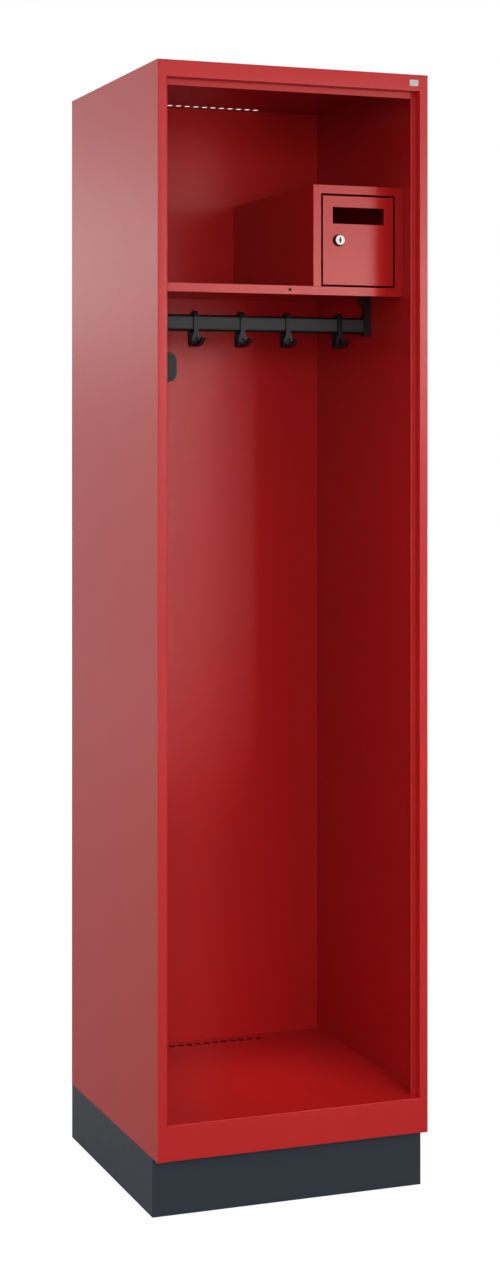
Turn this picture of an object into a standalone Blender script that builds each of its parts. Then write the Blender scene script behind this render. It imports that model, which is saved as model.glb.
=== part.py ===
"""Open-fronted gear locker for a firefighter's kit, folded from sheet steel.

Metres, X to the right, Y to the back, Z up. The origin is on the floor under the middle of the
locker. The sizes that a designer would set come first, and what mates with them is worked out
from them.
"""

import math

import bmesh
import bpy
from mathutils import Matrix, Vector

for old in list(bpy.data.objects):
    bpy.data.objects.remove(old, do_unlink=True)

# Cabinet body
BODY_WIDTH = 0.500
BODY_DEPTH = 0.500
BODY_HEIGHT = 1.850
SHEET = 0.001
BEND_RADIUS = 0.0005
FIT_GAP = 0.0003
STILE_WIDTH = 0.016
REBATE_DEPTH = 0.020
STOP_WIDTH = 0.0072
TOP_RAIL_HEIGHT = 0.029
TOP_STOP_HEIGHT = 0.0105
BOTTOM_RAIL_HEIGHT = 0.061
REAR_FLANGE = 0.014
BASE_FLANGE_FRONT = 0.060
BASE_FLANGE_SIDE = 0.035
BASE_FLANGE_END = 0.010
FLOOR_REAR_DROP = 0.030
BACK_PAN_DEPTH = 0.003

# Ventilation slots in the top and in the floor
VENT_COUNT = 14
VENT_PITCH = 0.0175
VENT_WIDTH = 0.0113
VENT_LENGTH = 0.016
TOP_VENT_FROM_BACK = 0.020
FLOOR_VENT_FROM_BACK = 0.032

# Plinth and the bolts that hold the body on it
PLINTH_HEIGHT = 0.100
PLINTH_RECESS = 0.028
PLINTH_WALL = 0.0015
PLINTH_FLANGE = 0.030
PLINTH_CORNER = 0.003
BOLT_DIAMETER = 0.008
BOLT_LENGTH = 0.020
BOLT_HEAD_ACROSS = 0.013
BOLT_HEAD_HEIGHT = 0.0055
FRONT_BOLT_FROM_SIDE = 0.050
REAR_BOLT_FROM_BACK = 0.050

# Hat shelf
SHELF_BELOW_TOP = 0.367
SHELF_SETBACK = 0.098
SHELF_LIP = 0.015
SHELF_LIP_RETURN = 0.010
SHELF_REAR_HEM = 0.0035
LIP_HOLE_DIAMETER = 0.0046
LIP_HOLE_X = 0.0293
LIP_HOLE_DROP = 0.007

# Valuables box on the shelf, with its door
BOX_WIDTH = 0.1747
BOX_HEIGHT = 0.1797
BOX_STILE = 0.0146
BOX_HINGE_STILE = 0.0163
BOX_TOP_RAIL = 0.015
BOX_RETURN = 0.018
DOOR_GAP = 0.0038
DOOR_FLANGE = 0.012
SLOT_WIDTH = 0.099
SLOT_HEIGHT = 0.0295
SLOT_DROP = 0.0197
HINGE_INSET = 0.004
PIN_DIAMETER = 0.003
PIN_HEAD_DIAMETER = 0.006
PIN_HEAD_HEIGHT = 0.0015
PIN_PROUD = 0.001

# Cam lock of the valuables door
LOCK_INSET = 0.0297
COLLAR_DIAMETER = 0.022
COLLAR_FACE_DIAMETER = 0.0186
COLLAR_LENGTH = 0.0065
BARREL_DIAMETER = 0.0184
PLUG_DIAMETER = 0.0145
PLUG_HEAD_DIAMETER = 0.017
PLUG_HEAD_LENGTH = 0.0012
KEYHOLE_WIDTH = 0.0024
KEYHOLE_HEIGHT = 0.0095
KEYHOLE_ROUND = 0.004
KEYHOLE_DEPTH = 0.005
LOCK_NUT_ACROSS = 0.024
LOCK_NUT_HEIGHT = 0.005
TANG_SIDE = 0.008
CAM_WIDTH = 0.014
CAM_THICKNESS = 0.002
CAM_OVERLAP = 0.008
CAM_SCREW_DIAMETER = 0.004
CAM_SCREW_LENGTH = 0.008
CAM_SCREW_HEAD_DIAMETER = 0.012
CAM_SCREW_HEAD_HEIGHT = 0.0025

# Coat rail and its brackets under the shelf
RAIL_HEIGHT = 0.030
RAIL_WIDTH = 0.015
RAIL_WALL = 0.0015
RAIL_SETBACK = 0.250
RAIL_DROP = 0.060
BRACKET_WIDTH = 0.021
SOCKET_LENGTH = 0.012
SOCKET_WALL = 0.0035
SOCKET_END_WALL = 0.002
NECK_WIDTH = 0.008
HEAD_LENGTH = 0.0205
HEAD_THICKNESS = 0.0077
HEAD_SLOPE = 0.018
RAIL_SCREW_DIAMETER = 0.004
RAIL_SCREW_LENGTH = 0.020
RAIL_SCREW_HEAD_DIAMETER = 0.008
RAIL_SCREW_HEAD_HEIGHT = 0.002
RAIL_SCREW_SPACING = 0.010
RAIL_SCREW_INSET = 0.0062

# Coat hooks that slide on the rail
HOOKS_FROM_LEFT = (0.066, 0.155)
MIDDLE_HOOK_X = -0.005
HOOKS_FROM_RIGHT = (0.166, 0.063)
STRAP_WIDTH = 0.009
STRAP_THICKNESS = 0.0035
STRAP_CROWN = 0.0065
HOOK_WIDTH = 0.0165
HOOK_THICKNESS = 0.0035
HOOK_FRONT_BEND = 0.008
HOOK_REAR_BEND = 0.002
HOOK_DROP = 0.043
HOOK_STEP = 0.0005
HOOK_LAP = 0.003
WEB_WIDTH = 0.019
WEB_WIDE_RISE = 0.0135
WEB_NARROW_RISE = 0.0255
EYELET_WIDTH = 0.0065
EYELET_HEIGHT = 0.011
EYELET_RISE = 0.0116
PRONG_WIDTH = 0.007
PRONG_ROOT = 0.004
PRONG_ROOT_HEIGHT = 0.005
PRONG_BASE_REACH = 0.022
PRONG_TIP_REACH = 0.052
PRONG_TIP_RISE = 0.0145
PRONG_TIP_HEIGHT = 0.001

# Helmet holder on the left wall
HOLDER_SETBACK = 0.100
HOLDER_BELOW_SHELF = 0.120
HOLDER_HEIGHT = 0.0516
HOLDER_REACH = 0.068
HOLDER_LEG = 0.040
HOLDER_PLATE = 0.002
HOLDER_CORNER = 0.015

# Strip hook under the helmet holder
STRIP_SETBACK = 0.100
STRIP_BELOW_SHELF = 0.234
STRIP_WIDTH = 0.020
STRIP_THICKNESS = 0.002
STRIP_REACH = 0.0506
STRIP_TIP = 0.030
STRIP_LEG = 0.046

# Weld studs on the left wall, with their nuts
STUD_DIAMETER = 0.005
STUD_LENGTH = 0.009
STUD_NUT_ACROSS = 0.008
STUD_NUT_HEIGHT = 0.004
STUD_SPACING = 0.024

# Finishes: colour, roughness, metallic
RED_COAT = ((0.402, 0.007, 0.008, 1.0), 0.32, 0.0)
ANTHRACITE_COAT = ((0.033, 0.039, 0.046, 1.0), 0.45, 0.0)
BLACK_PLASTIC = ((0.012, 0.013, 0.014, 1.0), 0.42, 0.0)
DARK_RAIL = ((0.028, 0.030, 0.031, 1.0), 0.38, 0.0)
BRIGHT_METAL = ((0.62, 0.62, 0.60, 1.0), 0.28, 1.0)
ZINC_PLATE = ((0.55, 0.56, 0.57, 1.0), 0.38, 1.0)
DARK_PLATE = ((0.040, 0.045, 0.050, 1.0), 0.50, 0.0)

# How finely curves are cut into flats
SMALL_SIDES = 20
LARGE_SIDES = 40
OVAL_SIDES = 12
BEND_STEPS = 2
CORNER_STEPS = 4
HOOK_BEND_STEPS = 5
CUT_PAST = 0.002
SMOOTH_ANGLE = math.radians(35)


# Outlines


def circle(centre, radius, sides):
    """Points of a circle round a centre in any two axes."""
    turns = [2 * math.pi * step / sides for step in range(sides)]
    return [(centre[0] + radius * math.cos(a), centre[1] + radius * math.sin(a)) for a in turns]


def hexagon(centre, across):
    """A hexagon that is as wide as the given size over its flats."""
    return circle(centre, across / math.sqrt(3), 6)


def oval(centre, half_width, straight_half, top_radius, bottom_radius):
    """A flat-sided upright oval: straight sides with a rounded end above and below."""
    points = []
    for step in range(OVAL_SIDES + 1):
        turn = math.pi * step / OVAL_SIDES
        rise = straight_half + top_radius * math.sin(turn)
        points.append((centre[0] + half_width * math.cos(turn), centre[1] + rise))
    for step in range(OVAL_SIDES + 1):
        turn = math.pi + math.pi * step / OVAL_SIDES
        fall = -straight_half + bottom_radius * math.sin(turn)
        points.append((centre[0] + half_width * math.cos(turn), centre[1] + fall))
    return points


def arc(centre, start, angle, radius, steps):
    """Points on an arc that starts in the direction of a vector and turns by an angle."""
    points = []
    for step in range(steps + 1):
        turned_to = Matrix.Rotation(angle * step / steps, 2) @ start
        points.append(centre + turned_to * radius)
    return points


def folded(path, thickness, bends, steps):
    """The closed outline of a sheet folded along a path, with its thickness on the path's left.

    The bends are one inside radius for each corner of the path, or one for all of them.
    """
    corners = [Vector(point) for point in path]
    if not isinstance(bends, tuple):
        bends = (bends,) * (len(corners) - 2)
    runs = [(after - before).normalized() for before, after in zip(corners, corners[1:])]
    lefts = [Vector((-run.y, run.x)) for run in runs]
    near = [corners[0]]
    far = [corners[0] + lefts[0] * thickness]
    for number in range(1, len(corners) - 1):
        bend = bends[number - 1]
        arriving = runs[number - 1]
        angle = -arriving.angle_signed(runs[number])
        side = lefts[number - 1]
        near_radius = bend + thickness if angle > 0 else bend
        far_radius = bend if angle > 0 else bend + thickness
        inwards = side if angle > 0 else -side
        setback = near_radius * math.tan(abs(angle) / 2)
        centre = corners[number] - arriving * setback + inwards * near_radius
        near += arc(centre, -inwards, angle, near_radius, steps)
        far += arc(centre, -inwards, angle, far_radius, steps)
    near.append(corners[-1])
    far.append(corners[-1] + lefts[-1] * thickness)
    return [tuple(point) for point in near + far[::-1]]


# Solids


def placed(axis, across, along):
    """A point from its two coordinates in a cross-section and its place along an axis."""
    first, second = across
    if axis == "X":
        return Vector((along, first, second))
    if axis == "Y":
        return Vector((first, along, second))
    return Vector((first, second, along))


def solid(name, bm):
    """An object that holds a finished shape, with its faces turned outwards."""
    bmesh.ops.recalc_face_normals(bm, faces=bm.faces)
    mesh = bpy.data.meshes.new(name)
    bm.to_mesh(mesh)
    bm.free()
    piece = bpy.data.objects.new(name, mesh)
    bpy.context.scene.collection.objects.link(piece)
    return piece


def prism(name, outline, axis, start, end):
    """An outline carried straight along an axis."""
    bm = bmesh.new()
    foot = bm.faces.new([bm.verts.new(placed(axis, point, start)) for point in outline])
    made = bmesh.ops.extrude_face_region(bm, geom=[foot])["geom"]
    moved = [item for item in made if isinstance(item, bmesh.types.BMVert)]
    travel = placed(axis, (0, 0), end - start)
    bmesh.ops.translate(bm, verts=moved, vec=travel)
    return solid(name, bm)


def block(name, low, high):
    """A box between two corners."""
    outline = [(low[0], low[1]), (high[0], low[1]), (high[0], high[1]), (low[0], high[1])]
    return prism(name, outline, "Z", low[2], high[2])


def looped(name, loops, closed):
    """A skin over loops of points, joined end to end or capped at the first and last loop."""
    bm = bmesh.new()
    rows = [[bm.verts.new(point) for point in loop] for loop in loops]
    pairs = list(zip(rows, rows[1:]))
    if closed:
        pairs.append((rows[-1], rows[0]))
    else:
        bm.faces.new(rows[0])
        bm.faces.new(rows[-1])
    for first, second in pairs:
        for number in range(len(first)):
            after = (number + 1) % len(first)
            bm.faces.new([first[number], first[after], second[after], second[number]])
    return solid(name, bm)


def turned(name, axis, centre, profile, sides, closed=False):
    """A turned piece: each profile point is a radius and a place along the axis."""
    loops = []
    for radius, along in profile:
        loops.append([placed(axis, point, along) for point in circle(centre, radius, sides)])
    return looped(name, loops, closed)


def rod(name, axis, centre, diameter, start, end, sides=SMALL_SIDES):
    """A plain round bar."""
    return prism(name, circle(centre, diameter / 2, sides), axis, start, end)


def combine(piece, others, operation):
    """Joins other solids to a piece or cuts them out of it, and removes them."""
    for other in others:
        step = piece.modifiers.new(operation.title(), "BOOLEAN")
        step.operation = operation
        step.solver = "EXACT"
        step.object = other
    graph = bpy.context.evaluated_depsgraph_get()
    made = bpy.data.meshes.new_from_object(piece.evaluated_get(graph))
    piece.modifiers.clear()
    before = piece.data
    piece.data = made
    bpy.data.meshes.remove(before)
    made.name = piece.name
    for other in others:
        bpy.data.objects.remove(other, do_unlink=True)
    return piece


def cut(piece, *cutters):
    return combine(piece, cutters, "DIFFERENCE")


def joined(piece, *others):
    return combine(piece, others, "UNION")


def finish(piece, values, round_piece=False):
    """Gives a piece its own material, and smooth shading where it is round."""
    colour, roughness, metallic = values
    material = bpy.data.materials.new(piece.name)
    material.use_nodes = True
    shader = material.node_tree.nodes["Principled BSDF"]
    shader.inputs["Base Color"].default_value = colour
    shader.inputs["Roughness"].default_value = roughness
    shader.inputs["Metallic"].default_value = metallic
    material.diffuse_color = colour
    piece.data.materials.clear()
    piece.data.materials.append(material)
    if round_piece:
        piece.data.shade_smooth()
        piece.data.set_sharp_from_angle(angle=SMOOTH_ANGLE)
    return piece


def pivot(name, point):
    """An empty on a joint's axis."""
    empty = bpy.data.objects.new(name, None)
    empty.location = point
    bpy.context.scene.collection.objects.link(empty)
    return empty


def carry(empty, pieces):
    """Hangs pieces on a pivot, with their origins on its axis."""
    for piece in pieces:
        piece.data.transform(Matrix.Translation(-empty.location))
        piece.parent = empty


# Places that several pieces share
half_width = BODY_WIDTH / 2
front = -BODY_DEPTH / 2
back = BODY_DEPTH / 2
base = PLINTH_HEIGHT
top = PLINTH_HEIGHT + BODY_HEIGHT
wall_inside = half_width - SHEET
fit_half = wall_inside - FIT_GAP
stile_inner = half_width - STILE_WIDTH
stop_inner = stile_inner - STOP_WIDTH
stop_front = front + REBATE_DEPTH
stop_back = stop_front + SHEET
rail_low = top - TOP_RAIL_HEIGHT
floor_top = base + BOTTOM_RAIL_HEIGHT
pan_rear = back - SHEET - FIT_GAP
back_inside = pan_rear - BACK_PAN_DEPTH
rear_fit = back_inside - FIT_GAP
shelf_top = top - SHELF_BELOW_TOP
shelf_front = front + SHELF_SETBACK
shelf_under = shelf_top - SHEET


# Plinth: a welded ring of folded sheet with flanges turned inwards above and below
plinth_top = PLINTH_HEIGHT - FIT_GAP
plinth_front = front + PLINTH_RECESS
plinth_frame = block(
    "plinth_frame", (-half_width, plinth_front, 0), (half_width, back, plinth_top)
)
corner_bm = bmesh.new()
corner_bm.from_mesh(plinth_frame.data)
upright = [e for e in corner_bm.edges if abs(e.verts[0].co.z - e.verts[1].co.z) > plinth_top / 2]
bmesh.ops.bevel(
    corner_bm, geom=upright, offset=PLINTH_CORNER, segments=CORNER_STEPS, profile=0.5, affect="EDGES"
)
corner_bm.to_mesh(plinth_frame.data)
corner_bm.free()
plinth_hollow = block(
    "plinth_hollow",
    (-half_width + PLINTH_WALL, plinth_front + PLINTH_WALL, PLINTH_WALL),
    (half_width - PLINTH_WALL, back - PLINTH_WALL, plinth_top - PLINTH_WALL),
)
plinth_mouth = block(
    "plinth_mouth",
    (-half_width + PLINTH_FLANGE, plinth_front + PLINTH_FLANGE, -CUT_PAST),
    (half_width - PLINTH_FLANGE, back - PLINTH_FLANGE, plinth_top + CUT_PAST),
)
cut(plinth_frame, plinth_hollow, plinth_mouth)

# Plinth bolts: two through the front rail's foot and two through the feet of the sides
front_bolt_x = half_width - FRONT_BOLT_FROM_SIDE
rear_bolt_x = half_width - (PLINTH_WALL + PLINTH_FLANGE) / 2
front_bolt_y = plinth_front + (PLINTH_WALL + PLINTH_FLANGE) / 2
rear_bolt_y = back - REAR_BOLT_FROM_BACK
bolt_places = [
    (-front_bolt_x, front_bolt_y),
    (front_bolt_x, front_bolt_y),
    (-rear_bolt_x, rear_bolt_y),
    (rear_bolt_x, rear_bolt_y),
]
bolt_hole = BOLT_DIAMETER + 2 * FIT_GAP
bolt_seat = base + SHEET + FIT_GAP
for number, place in enumerate(bolt_places, 1):
    bolt = prism(
        f"plinth_bolt_{number}",
        hexagon(place, BOLT_HEAD_ACROSS),
        "Z",
        bolt_seat,
        bolt_seat + BOLT_HEAD_HEIGHT,
    )
    shank_top = bolt_seat + BOLT_HEAD_HEIGHT / 2
    joined(bolt, rod("shank", "Z", place, BOLT_DIAMETER, bolt_seat - BOLT_LENGTH, shank_top))
    finish(bolt, ZINC_PLATE, round_piece=True)
    hole_low = plinth_top - PLINTH_WALL - CUT_PAST
    cut(plinth_frame, rod("bolt_hole", "Z", place, bolt_hole, hole_low, plinth_top + CUT_PAST))
finish(plinth_frame, ANTHRACITE_COAT)


# Sides: wall, hollow front stile, stop flange behind the rebate, rear flange and foot
def side_panel(name, hand):
    """One side; hand is -1 for the left and 1 for the right."""
    path = [
        (hand * (half_width - REAR_FLANGE), back),
        (hand * half_width, back),
        (hand * half_width, front),
        (hand * stile_inner, front),
        (hand * stile_inner, stop_front),
        (hand * stop_inner, stop_front),
    ]
    if hand > 0:
        path.reverse()
    outline = folded(path, SHEET, BEND_RADIUS, BEND_STEPS)
    side = prism(name, outline, "Z", base, top - SHEET - FIT_GAP)
    foot_ends = sorted([hand * (half_width - SHEET / 2), hand * (half_width - BASE_FLANGE_SIDE)])
    foot = block(
        "foot",
        (foot_ends[0], front + BASE_FLANGE_FRONT + FIT_GAP, base),
        (foot_ends[1], rear_fit - BASE_FLANGE_END, base + SHEET),
    )
    joined(side, foot)
    stop_ends = sorted([hand * stile_inner, hand * (stop_inner - CUT_PAST)])
    below_floor = block(
        "below_floor",
        (stop_ends[0], stop_front - CUT_PAST, base - CUT_PAST),
        (stop_ends[1], stop_back + CUT_PAST, floor_top + FIT_GAP),
    )
    above_stop = block(
        "above_stop",
        (stop_ends[0], stop_front - CUT_PAST, rail_low - FIT_GAP),
        (stop_ends[1], stop_back + CUT_PAST, top + CUT_PAST),
    )
    bolt_x, bolt_y = bolt_places[2 if hand < 0 else 3]
    hole_top = base + SHEET + CUT_PAST
    foot_hole = rod("foot_hole", "Z", (bolt_x, bolt_y), bolt_hole, base - CUT_PAST, hole_top)
    return cut(side, below_floor, above_stop, foot_hole)


left_side_panel = side_panel("left_side_panel", -1)
right_side_panel = finish(side_panel("right_side_panel", 1), RED_COAT)


# Back: a shallow pan between the sides, its rim turned to the rear flanges
back_low = base + SHEET + FIT_GAP
back_high = top - SHEET - FIT_GAP
back_panel = block("back_panel", (-fit_half, back_inside, back_low), (fit_half, pan_rear, back_high))
pan_pocket = block(
    "pan_pocket",
    (-fit_half + SHEET, back_inside + SHEET, back_low + SHEET),
    (fit_half - SHEET, pan_rear + CUT_PAST, back_high - SHEET),
)
finish(cut(back_panel, pan_pocket), RED_COAT)


def vent_row(row_y, low, high):
    """One cutter for each slot of a row across the middle of the locker."""
    slots = []
    first = -VENT_PITCH * (VENT_COUNT - 1) / 2
    for number in range(VENT_COUNT):
        slot_x = first + VENT_PITCH * number
        slots.append(
            block(
                "vent",
                (slot_x - VENT_WIDTH / 2, row_y - VENT_LENGTH / 2, low),
                (slot_x + VENT_WIDTH / 2, row_y + VENT_LENGTH / 2, high),
            )
        )
    return slots


# Top: sheet, front rail, return and stop flange, with a flange down at the back
top_path = [
    (back, top - REAR_FLANGE),
    (back, top),
    (front, top),
    (front, rail_low),
    (stop_front, rail_low),
    (stop_front, rail_low - TOP_STOP_HEIGHT),
]
top_outline = folded(top_path, SHEET, BEND_RADIUS, BEND_STEPS)
top_panel = prism("top_panel", top_outline, "X", -half_width, half_width)
for hand in (-1, 1):
    rail_ends = sorted([hand * (stile_inner - FIT_GAP), hand * (half_width + CUT_PAST)])
    stop_ends = sorted([hand * (stop_inner - FIT_GAP), hand * (half_width + CUT_PAST)])
    flange_ends = sorted([hand * (half_width - REAR_FLANGE - FIT_GAP), hand * (half_width + CUT_PAST)])
    stop_low = rail_low - TOP_STOP_HEIGHT - CUT_PAST
    cut(
        top_panel,
        block(
            "rail_end",
            (rail_ends[0], front - CUT_PAST, stop_low),
            (rail_ends[1], stop_back + CUT_PAST, top - SHEET),
        ),
        block(
            "stop_end",
            (stop_ends[0], stop_front - CUT_PAST, stop_low),
            (stop_ends[1], stop_back + CUT_PAST, rail_low),
        ),
        block(
            "flange_end",
            (flange_ends[0], pan_rear, top - REAR_FLANGE - CUT_PAST),
            (flange_ends[1], back + CUT_PAST, top - SHEET),
        ),
    )
top_vent_y = back - TOP_VENT_FROM_BACK
cut(top_panel, *vent_row(top_vent_y, top - SHEET - CUT_PAST, top + CUT_PAST))
finish(top_panel, RED_COAT)


# Floor: front rail with its foot, floor sheet notched round the stiles, flange down at the back
floor_path = [
    (rear_fit, floor_top - FLOOR_REAR_DROP),
    (rear_fit, floor_top),
    (front, floor_top),
    (front, base),
    (front + BASE_FLANGE_FRONT, base),
]
floor_outline = folded(floor_path, SHEET, BEND_RADIUS, BEND_STEPS)
floor_panel = prism("floor_panel", floor_outline, "X", -fit_half, fit_half)
for hand in (-1, 1):
    notch_ends = sorted([hand * (stile_inner - FIT_GAP), hand * (half_width + CUT_PAST)])
    notch = block(
        "notch",
        (notch_ends[0], front - CUT_PAST, base - CUT_PAST),
        (notch_ends[1], stop_back + FIT_GAP, floor_top + CUT_PAST),
    )
    cut(floor_panel, notch)
for place in bolt_places[:2]:
    hole_top = base + SHEET + CUT_PAST
    cut(floor_panel, rod("foot_hole", "Z", place, bolt_hole, base - CUT_PAST, hole_top))
floor_vent_y = back - FLOOR_VENT_FROM_BACK
cut(floor_panel, *vent_row(floor_vent_y, floor_top - SHEET - CUT_PAST, floor_top + CUT_PAST))
finish(floor_panel, RED_COAT)


# Hat shelf: a tray turned over, with a lip in front, flanges at the walls and a hem at the back
lip_low = shelf_top - SHELF_LIP
hat_shelf = block("hat_shelf", (-fit_half, shelf_front, lip_low), (fit_half, rear_fit, shelf_top))
tray = block(
    "tray",
    (-fit_half + SHEET, shelf_front + SHEET, lip_low + SHEET),
    (fit_half - SHEET, rear_fit - SHEET, shelf_under),
)
tray_mouth = block(
    "tray_mouth",
    (-fit_half + SHEET, shelf_front + SHELF_LIP_RETURN, lip_low - CUT_PAST),
    (fit_half - SHEET, rear_fit - SHEET, shelf_under - SHEET / 2),
)
hem_cut = block(
    "hem_cut",
    (-fit_half + SHEET, rear_fit - SHELF_LIP_RETURN, lip_low - CUT_PAST),
    (fit_half - SHEET, rear_fit + CUT_PAST, shelf_top - SHELF_REAR_HEM),
)
lip_hole_place = (LIP_HOLE_X, shelf_top - LIP_HOLE_DROP)
lip_hole_end = shelf_front + SHEET + CUT_PAST
lip_hole = rod("lip_hole", "Y", lip_hole_place, LIP_HOLE_DIAMETER, shelf_front - CUT_PAST, lip_hole_end)
cut(hat_shelf, tray, tray_mouth, hem_cut, lip_hole)


# Valuables box: a hood with a framed front, open underneath to the shelf and behind to the back
box_left = fit_half - BOX_WIDTH
box_low = shelf_top + FIT_GAP
box_high = box_low + BOX_HEIGHT
opening_left = box_left + BOX_STILE
opening_right = fit_half - BOX_HINGE_STILE
opening_high = box_high - BOX_TOP_RAIL
return_back = shelf_front + BOX_RETURN
hood_left = box_left + SHEET
hood_right = fit_half - SHEET
hood_high = box_high - SHEET
hood_front = shelf_front + SHEET
valuables_box = block("valuables_box", (box_left, shelf_front, box_low), (fit_half, rear_fit, box_high))
cut(
    valuables_box,
    block(
        "hood",
        (hood_left, return_back, box_low - CUT_PAST),
        (hood_right, rear_fit + CUT_PAST, hood_high),
    ),
    block(
        "above_return",
        (hood_left, hood_front, opening_high + SHEET),
        (hood_right, return_back + CUT_PAST, hood_high),
    ),
    block(
        "beside_lock_return",
        (hood_left, hood_front, box_low - CUT_PAST),
        (opening_left - SHEET, return_back + CUT_PAST, opening_high + 2 * SHEET),
    ),
    block(
        "beside_hinge_return",
        (opening_right + SHEET, hood_front, box_low - CUT_PAST),
        (hood_right, return_back + CUT_PAST, opening_high + 2 * SHEET),
    ),
    block(
        "doorway",
        (opening_left, shelf_front - CUT_PAST, box_low - CUT_PAST),
        (opening_right, return_back + CUT_PAST, opening_high),
    ),
)

# Valuables door: a pan with flanges at the lock side, the top and the bottom
door_left = opening_left + DOOR_GAP
door_right = opening_right - DOOR_GAP
door_low = shelf_top + DOOR_GAP
door_high = opening_high - DOOR_GAP
door_inside = shelf_front + SHEET
door_rear = shelf_front + DOOR_FLANGE
hinge_place = (door_right - HINGE_INSET, shelf_front + HINGE_INSET)
slot_middle = (door_left + door_right) / 2
slot_high = door_high - SLOT_DROP
valuables_door = block(
    "valuables_door", (door_left, shelf_front, door_low), (door_right, door_rear, door_high)
)
door_pocket = block(
    "door_pocket",
    (door_left + SHEET, door_inside, door_low + SHEET),
    (door_right + CUT_PAST, door_rear + CUT_PAST, door_high - SHEET),
)
posting_slot = block(
    "posting_slot",
    (slot_middle - SLOT_WIDTH / 2, shelf_front - CUT_PAST, slot_high - SLOT_HEIGHT),
    (slot_middle + SLOT_WIDTH / 2, door_inside + CUT_PAST, slot_high),
)
lock_place = (door_left + LOCK_INSET, (door_low + door_high) / 2)
lock_hole_diameter = BARREL_DIAMETER + 2 * FIT_GAP
lock_hole = rod(
    "lock_hole",
    "Y",
    lock_place,
    lock_hole_diameter,
    shelf_front - CUT_PAST,
    door_inside + CUT_PAST,
    LARGE_SIDES,
)
pin_hole = PIN_DIAMETER + 2 * FIT_GAP
hinge_holes = rod("hinge_holes", "Z", hinge_place, pin_hole, door_low - CUT_PAST, door_high + CUT_PAST)
cut(valuables_door, door_pocket, posting_slot, lock_hole, hinge_holes)
finish(valuables_door, RED_COAT)

# Hinge pins: a headed pin up into the box frame and one down into the shelf
frame_hole_high = opening_high + SHEET + CUT_PAST
cut(valuables_box, rod("frame_hole", "Z", hinge_place, pin_hole, opening_high - CUT_PAST, frame_hole_high))
finish(valuables_box, RED_COAT)
upper_seat = door_high - SHEET - FIT_GAP
lower_seat = door_low + SHEET + FIT_GAP
upper_end = opening_high + SHEET + PIN_PROUD
lower_end = shelf_under - PIN_PROUD
pin_profile = [
    (PIN_HEAD_DIAMETER / 2, upper_seat - PIN_HEAD_HEIGHT),
    (PIN_HEAD_DIAMETER / 2, upper_seat),
    (PIN_DIAMETER / 2, upper_seat),
    (PIN_DIAMETER / 2, upper_end),
]
hinge_pin_top = turned("hinge_pin_top", "Z", hinge_place, pin_profile, SMALL_SIDES)
pin_profile = [
    (PIN_HEAD_DIAMETER / 2, lower_seat + PIN_HEAD_HEIGHT),
    (PIN_HEAD_DIAMETER / 2, lower_seat),
    (PIN_DIAMETER / 2, lower_seat),
    (PIN_DIAMETER / 2, lower_end),
]
hinge_pin_bottom = turned("hinge_pin_bottom", "Z", hinge_place, pin_profile, SMALL_SIDES)
finish(hinge_pin_top, ZINC_PLATE, round_piece=True)
finish(hinge_pin_bottom, ZINC_PLATE, round_piece=True)

# Cam lock: collar and barrel, nut behind the door, plug with a tang, cam and cam screw
collar_rear = shelf_front - FIT_GAP
collar_front = collar_rear - COLLAR_LENGTH
barrel_rear = return_back - FIT_GAP
plug_bore = PLUG_DIAMETER + 2 * FIT_GAP
housing_profile = [
    (plug_bore / 2, collar_front),
    (COLLAR_FACE_DIAMETER / 2, collar_front),
    (COLLAR_DIAMETER / 2, collar_rear),
    (BARREL_DIAMETER / 2, collar_rear),
    (BARREL_DIAMETER / 2, barrel_rear),
    (plug_bore / 2, barrel_rear),
]
lock_housing = turned("lock_housing", "Y", lock_place, housing_profile, LARGE_SIDES, closed=True)
finish(lock_housing, BLACK_PLASTIC, round_piece=True)

nut_front = door_inside + FIT_GAP
nut_rear = nut_front + LOCK_NUT_HEIGHT
lock_nut = prism("lock_nut", hexagon(lock_place, LOCK_NUT_ACROSS), "Y", nut_front, nut_rear)
nut_bore = rod(
    "nut_bore", "Y", lock_place, lock_hole_diameter, nut_front - CUT_PAST, nut_rear + CUT_PAST, LARGE_SIDES
)
finish(cut(lock_nut, nut_bore), ZINC_PLATE, round_piece=True)

plug_shoulder = collar_front - FIT_GAP
plug_front = plug_shoulder - PLUG_HEAD_LENGTH
plug_rear = barrel_rear
cam_front = return_back + FIT_GAP
cam_rear = cam_front + CAM_THICKNESS
plug_profile = [
    (PLUG_HEAD_DIAMETER / 2, plug_front),
    (PLUG_HEAD_DIAMETER / 2, plug_shoulder),
    (PLUG_DIAMETER / 2, plug_shoulder),
    (PLUG_DIAMETER / 2, plug_rear),
]
lock_plug = turned("lock_plug", "Y", lock_place, plug_profile, LARGE_SIDES)


def lock_block(name, half_x, half_z, start, end):
    """A square bar round the lock's axis."""
    low = (lock_place[0] - half_x, start, lock_place[1] - half_z)
    high = (lock_place[0] + half_x, end, lock_place[1] + half_z)
    return block(name, low, high)


half_tang = TANG_SIDE / 2
joined(lock_plug, lock_block("tang", half_tang, half_tang, plug_rear - CUT_PAST, cam_rear))
screw_bore = CAM_SCREW_DIAMETER + 2 * FIT_GAP
screw_end = cam_rear + FIT_GAP - CAM_SCREW_LENGTH
cut(
    lock_plug,
    lock_block(
        "keyhole",
        KEYHOLE_WIDTH / 2,
        KEYHOLE_HEIGHT / 2,
        plug_front - CUT_PAST,
        plug_front + KEYHOLE_DEPTH,
    ),
    rod("key_post", "Y", lock_place, KEYHOLE_ROUND, plug_front - CUT_PAST, plug_front + KEYHOLE_DEPTH),
    rod("screw_bore", "Y", lock_place, screw_bore, screw_end - FIT_GAP, cam_rear + CUT_PAST),
)
finish(lock_plug, BRIGHT_METAL, round_piece=True)

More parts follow.
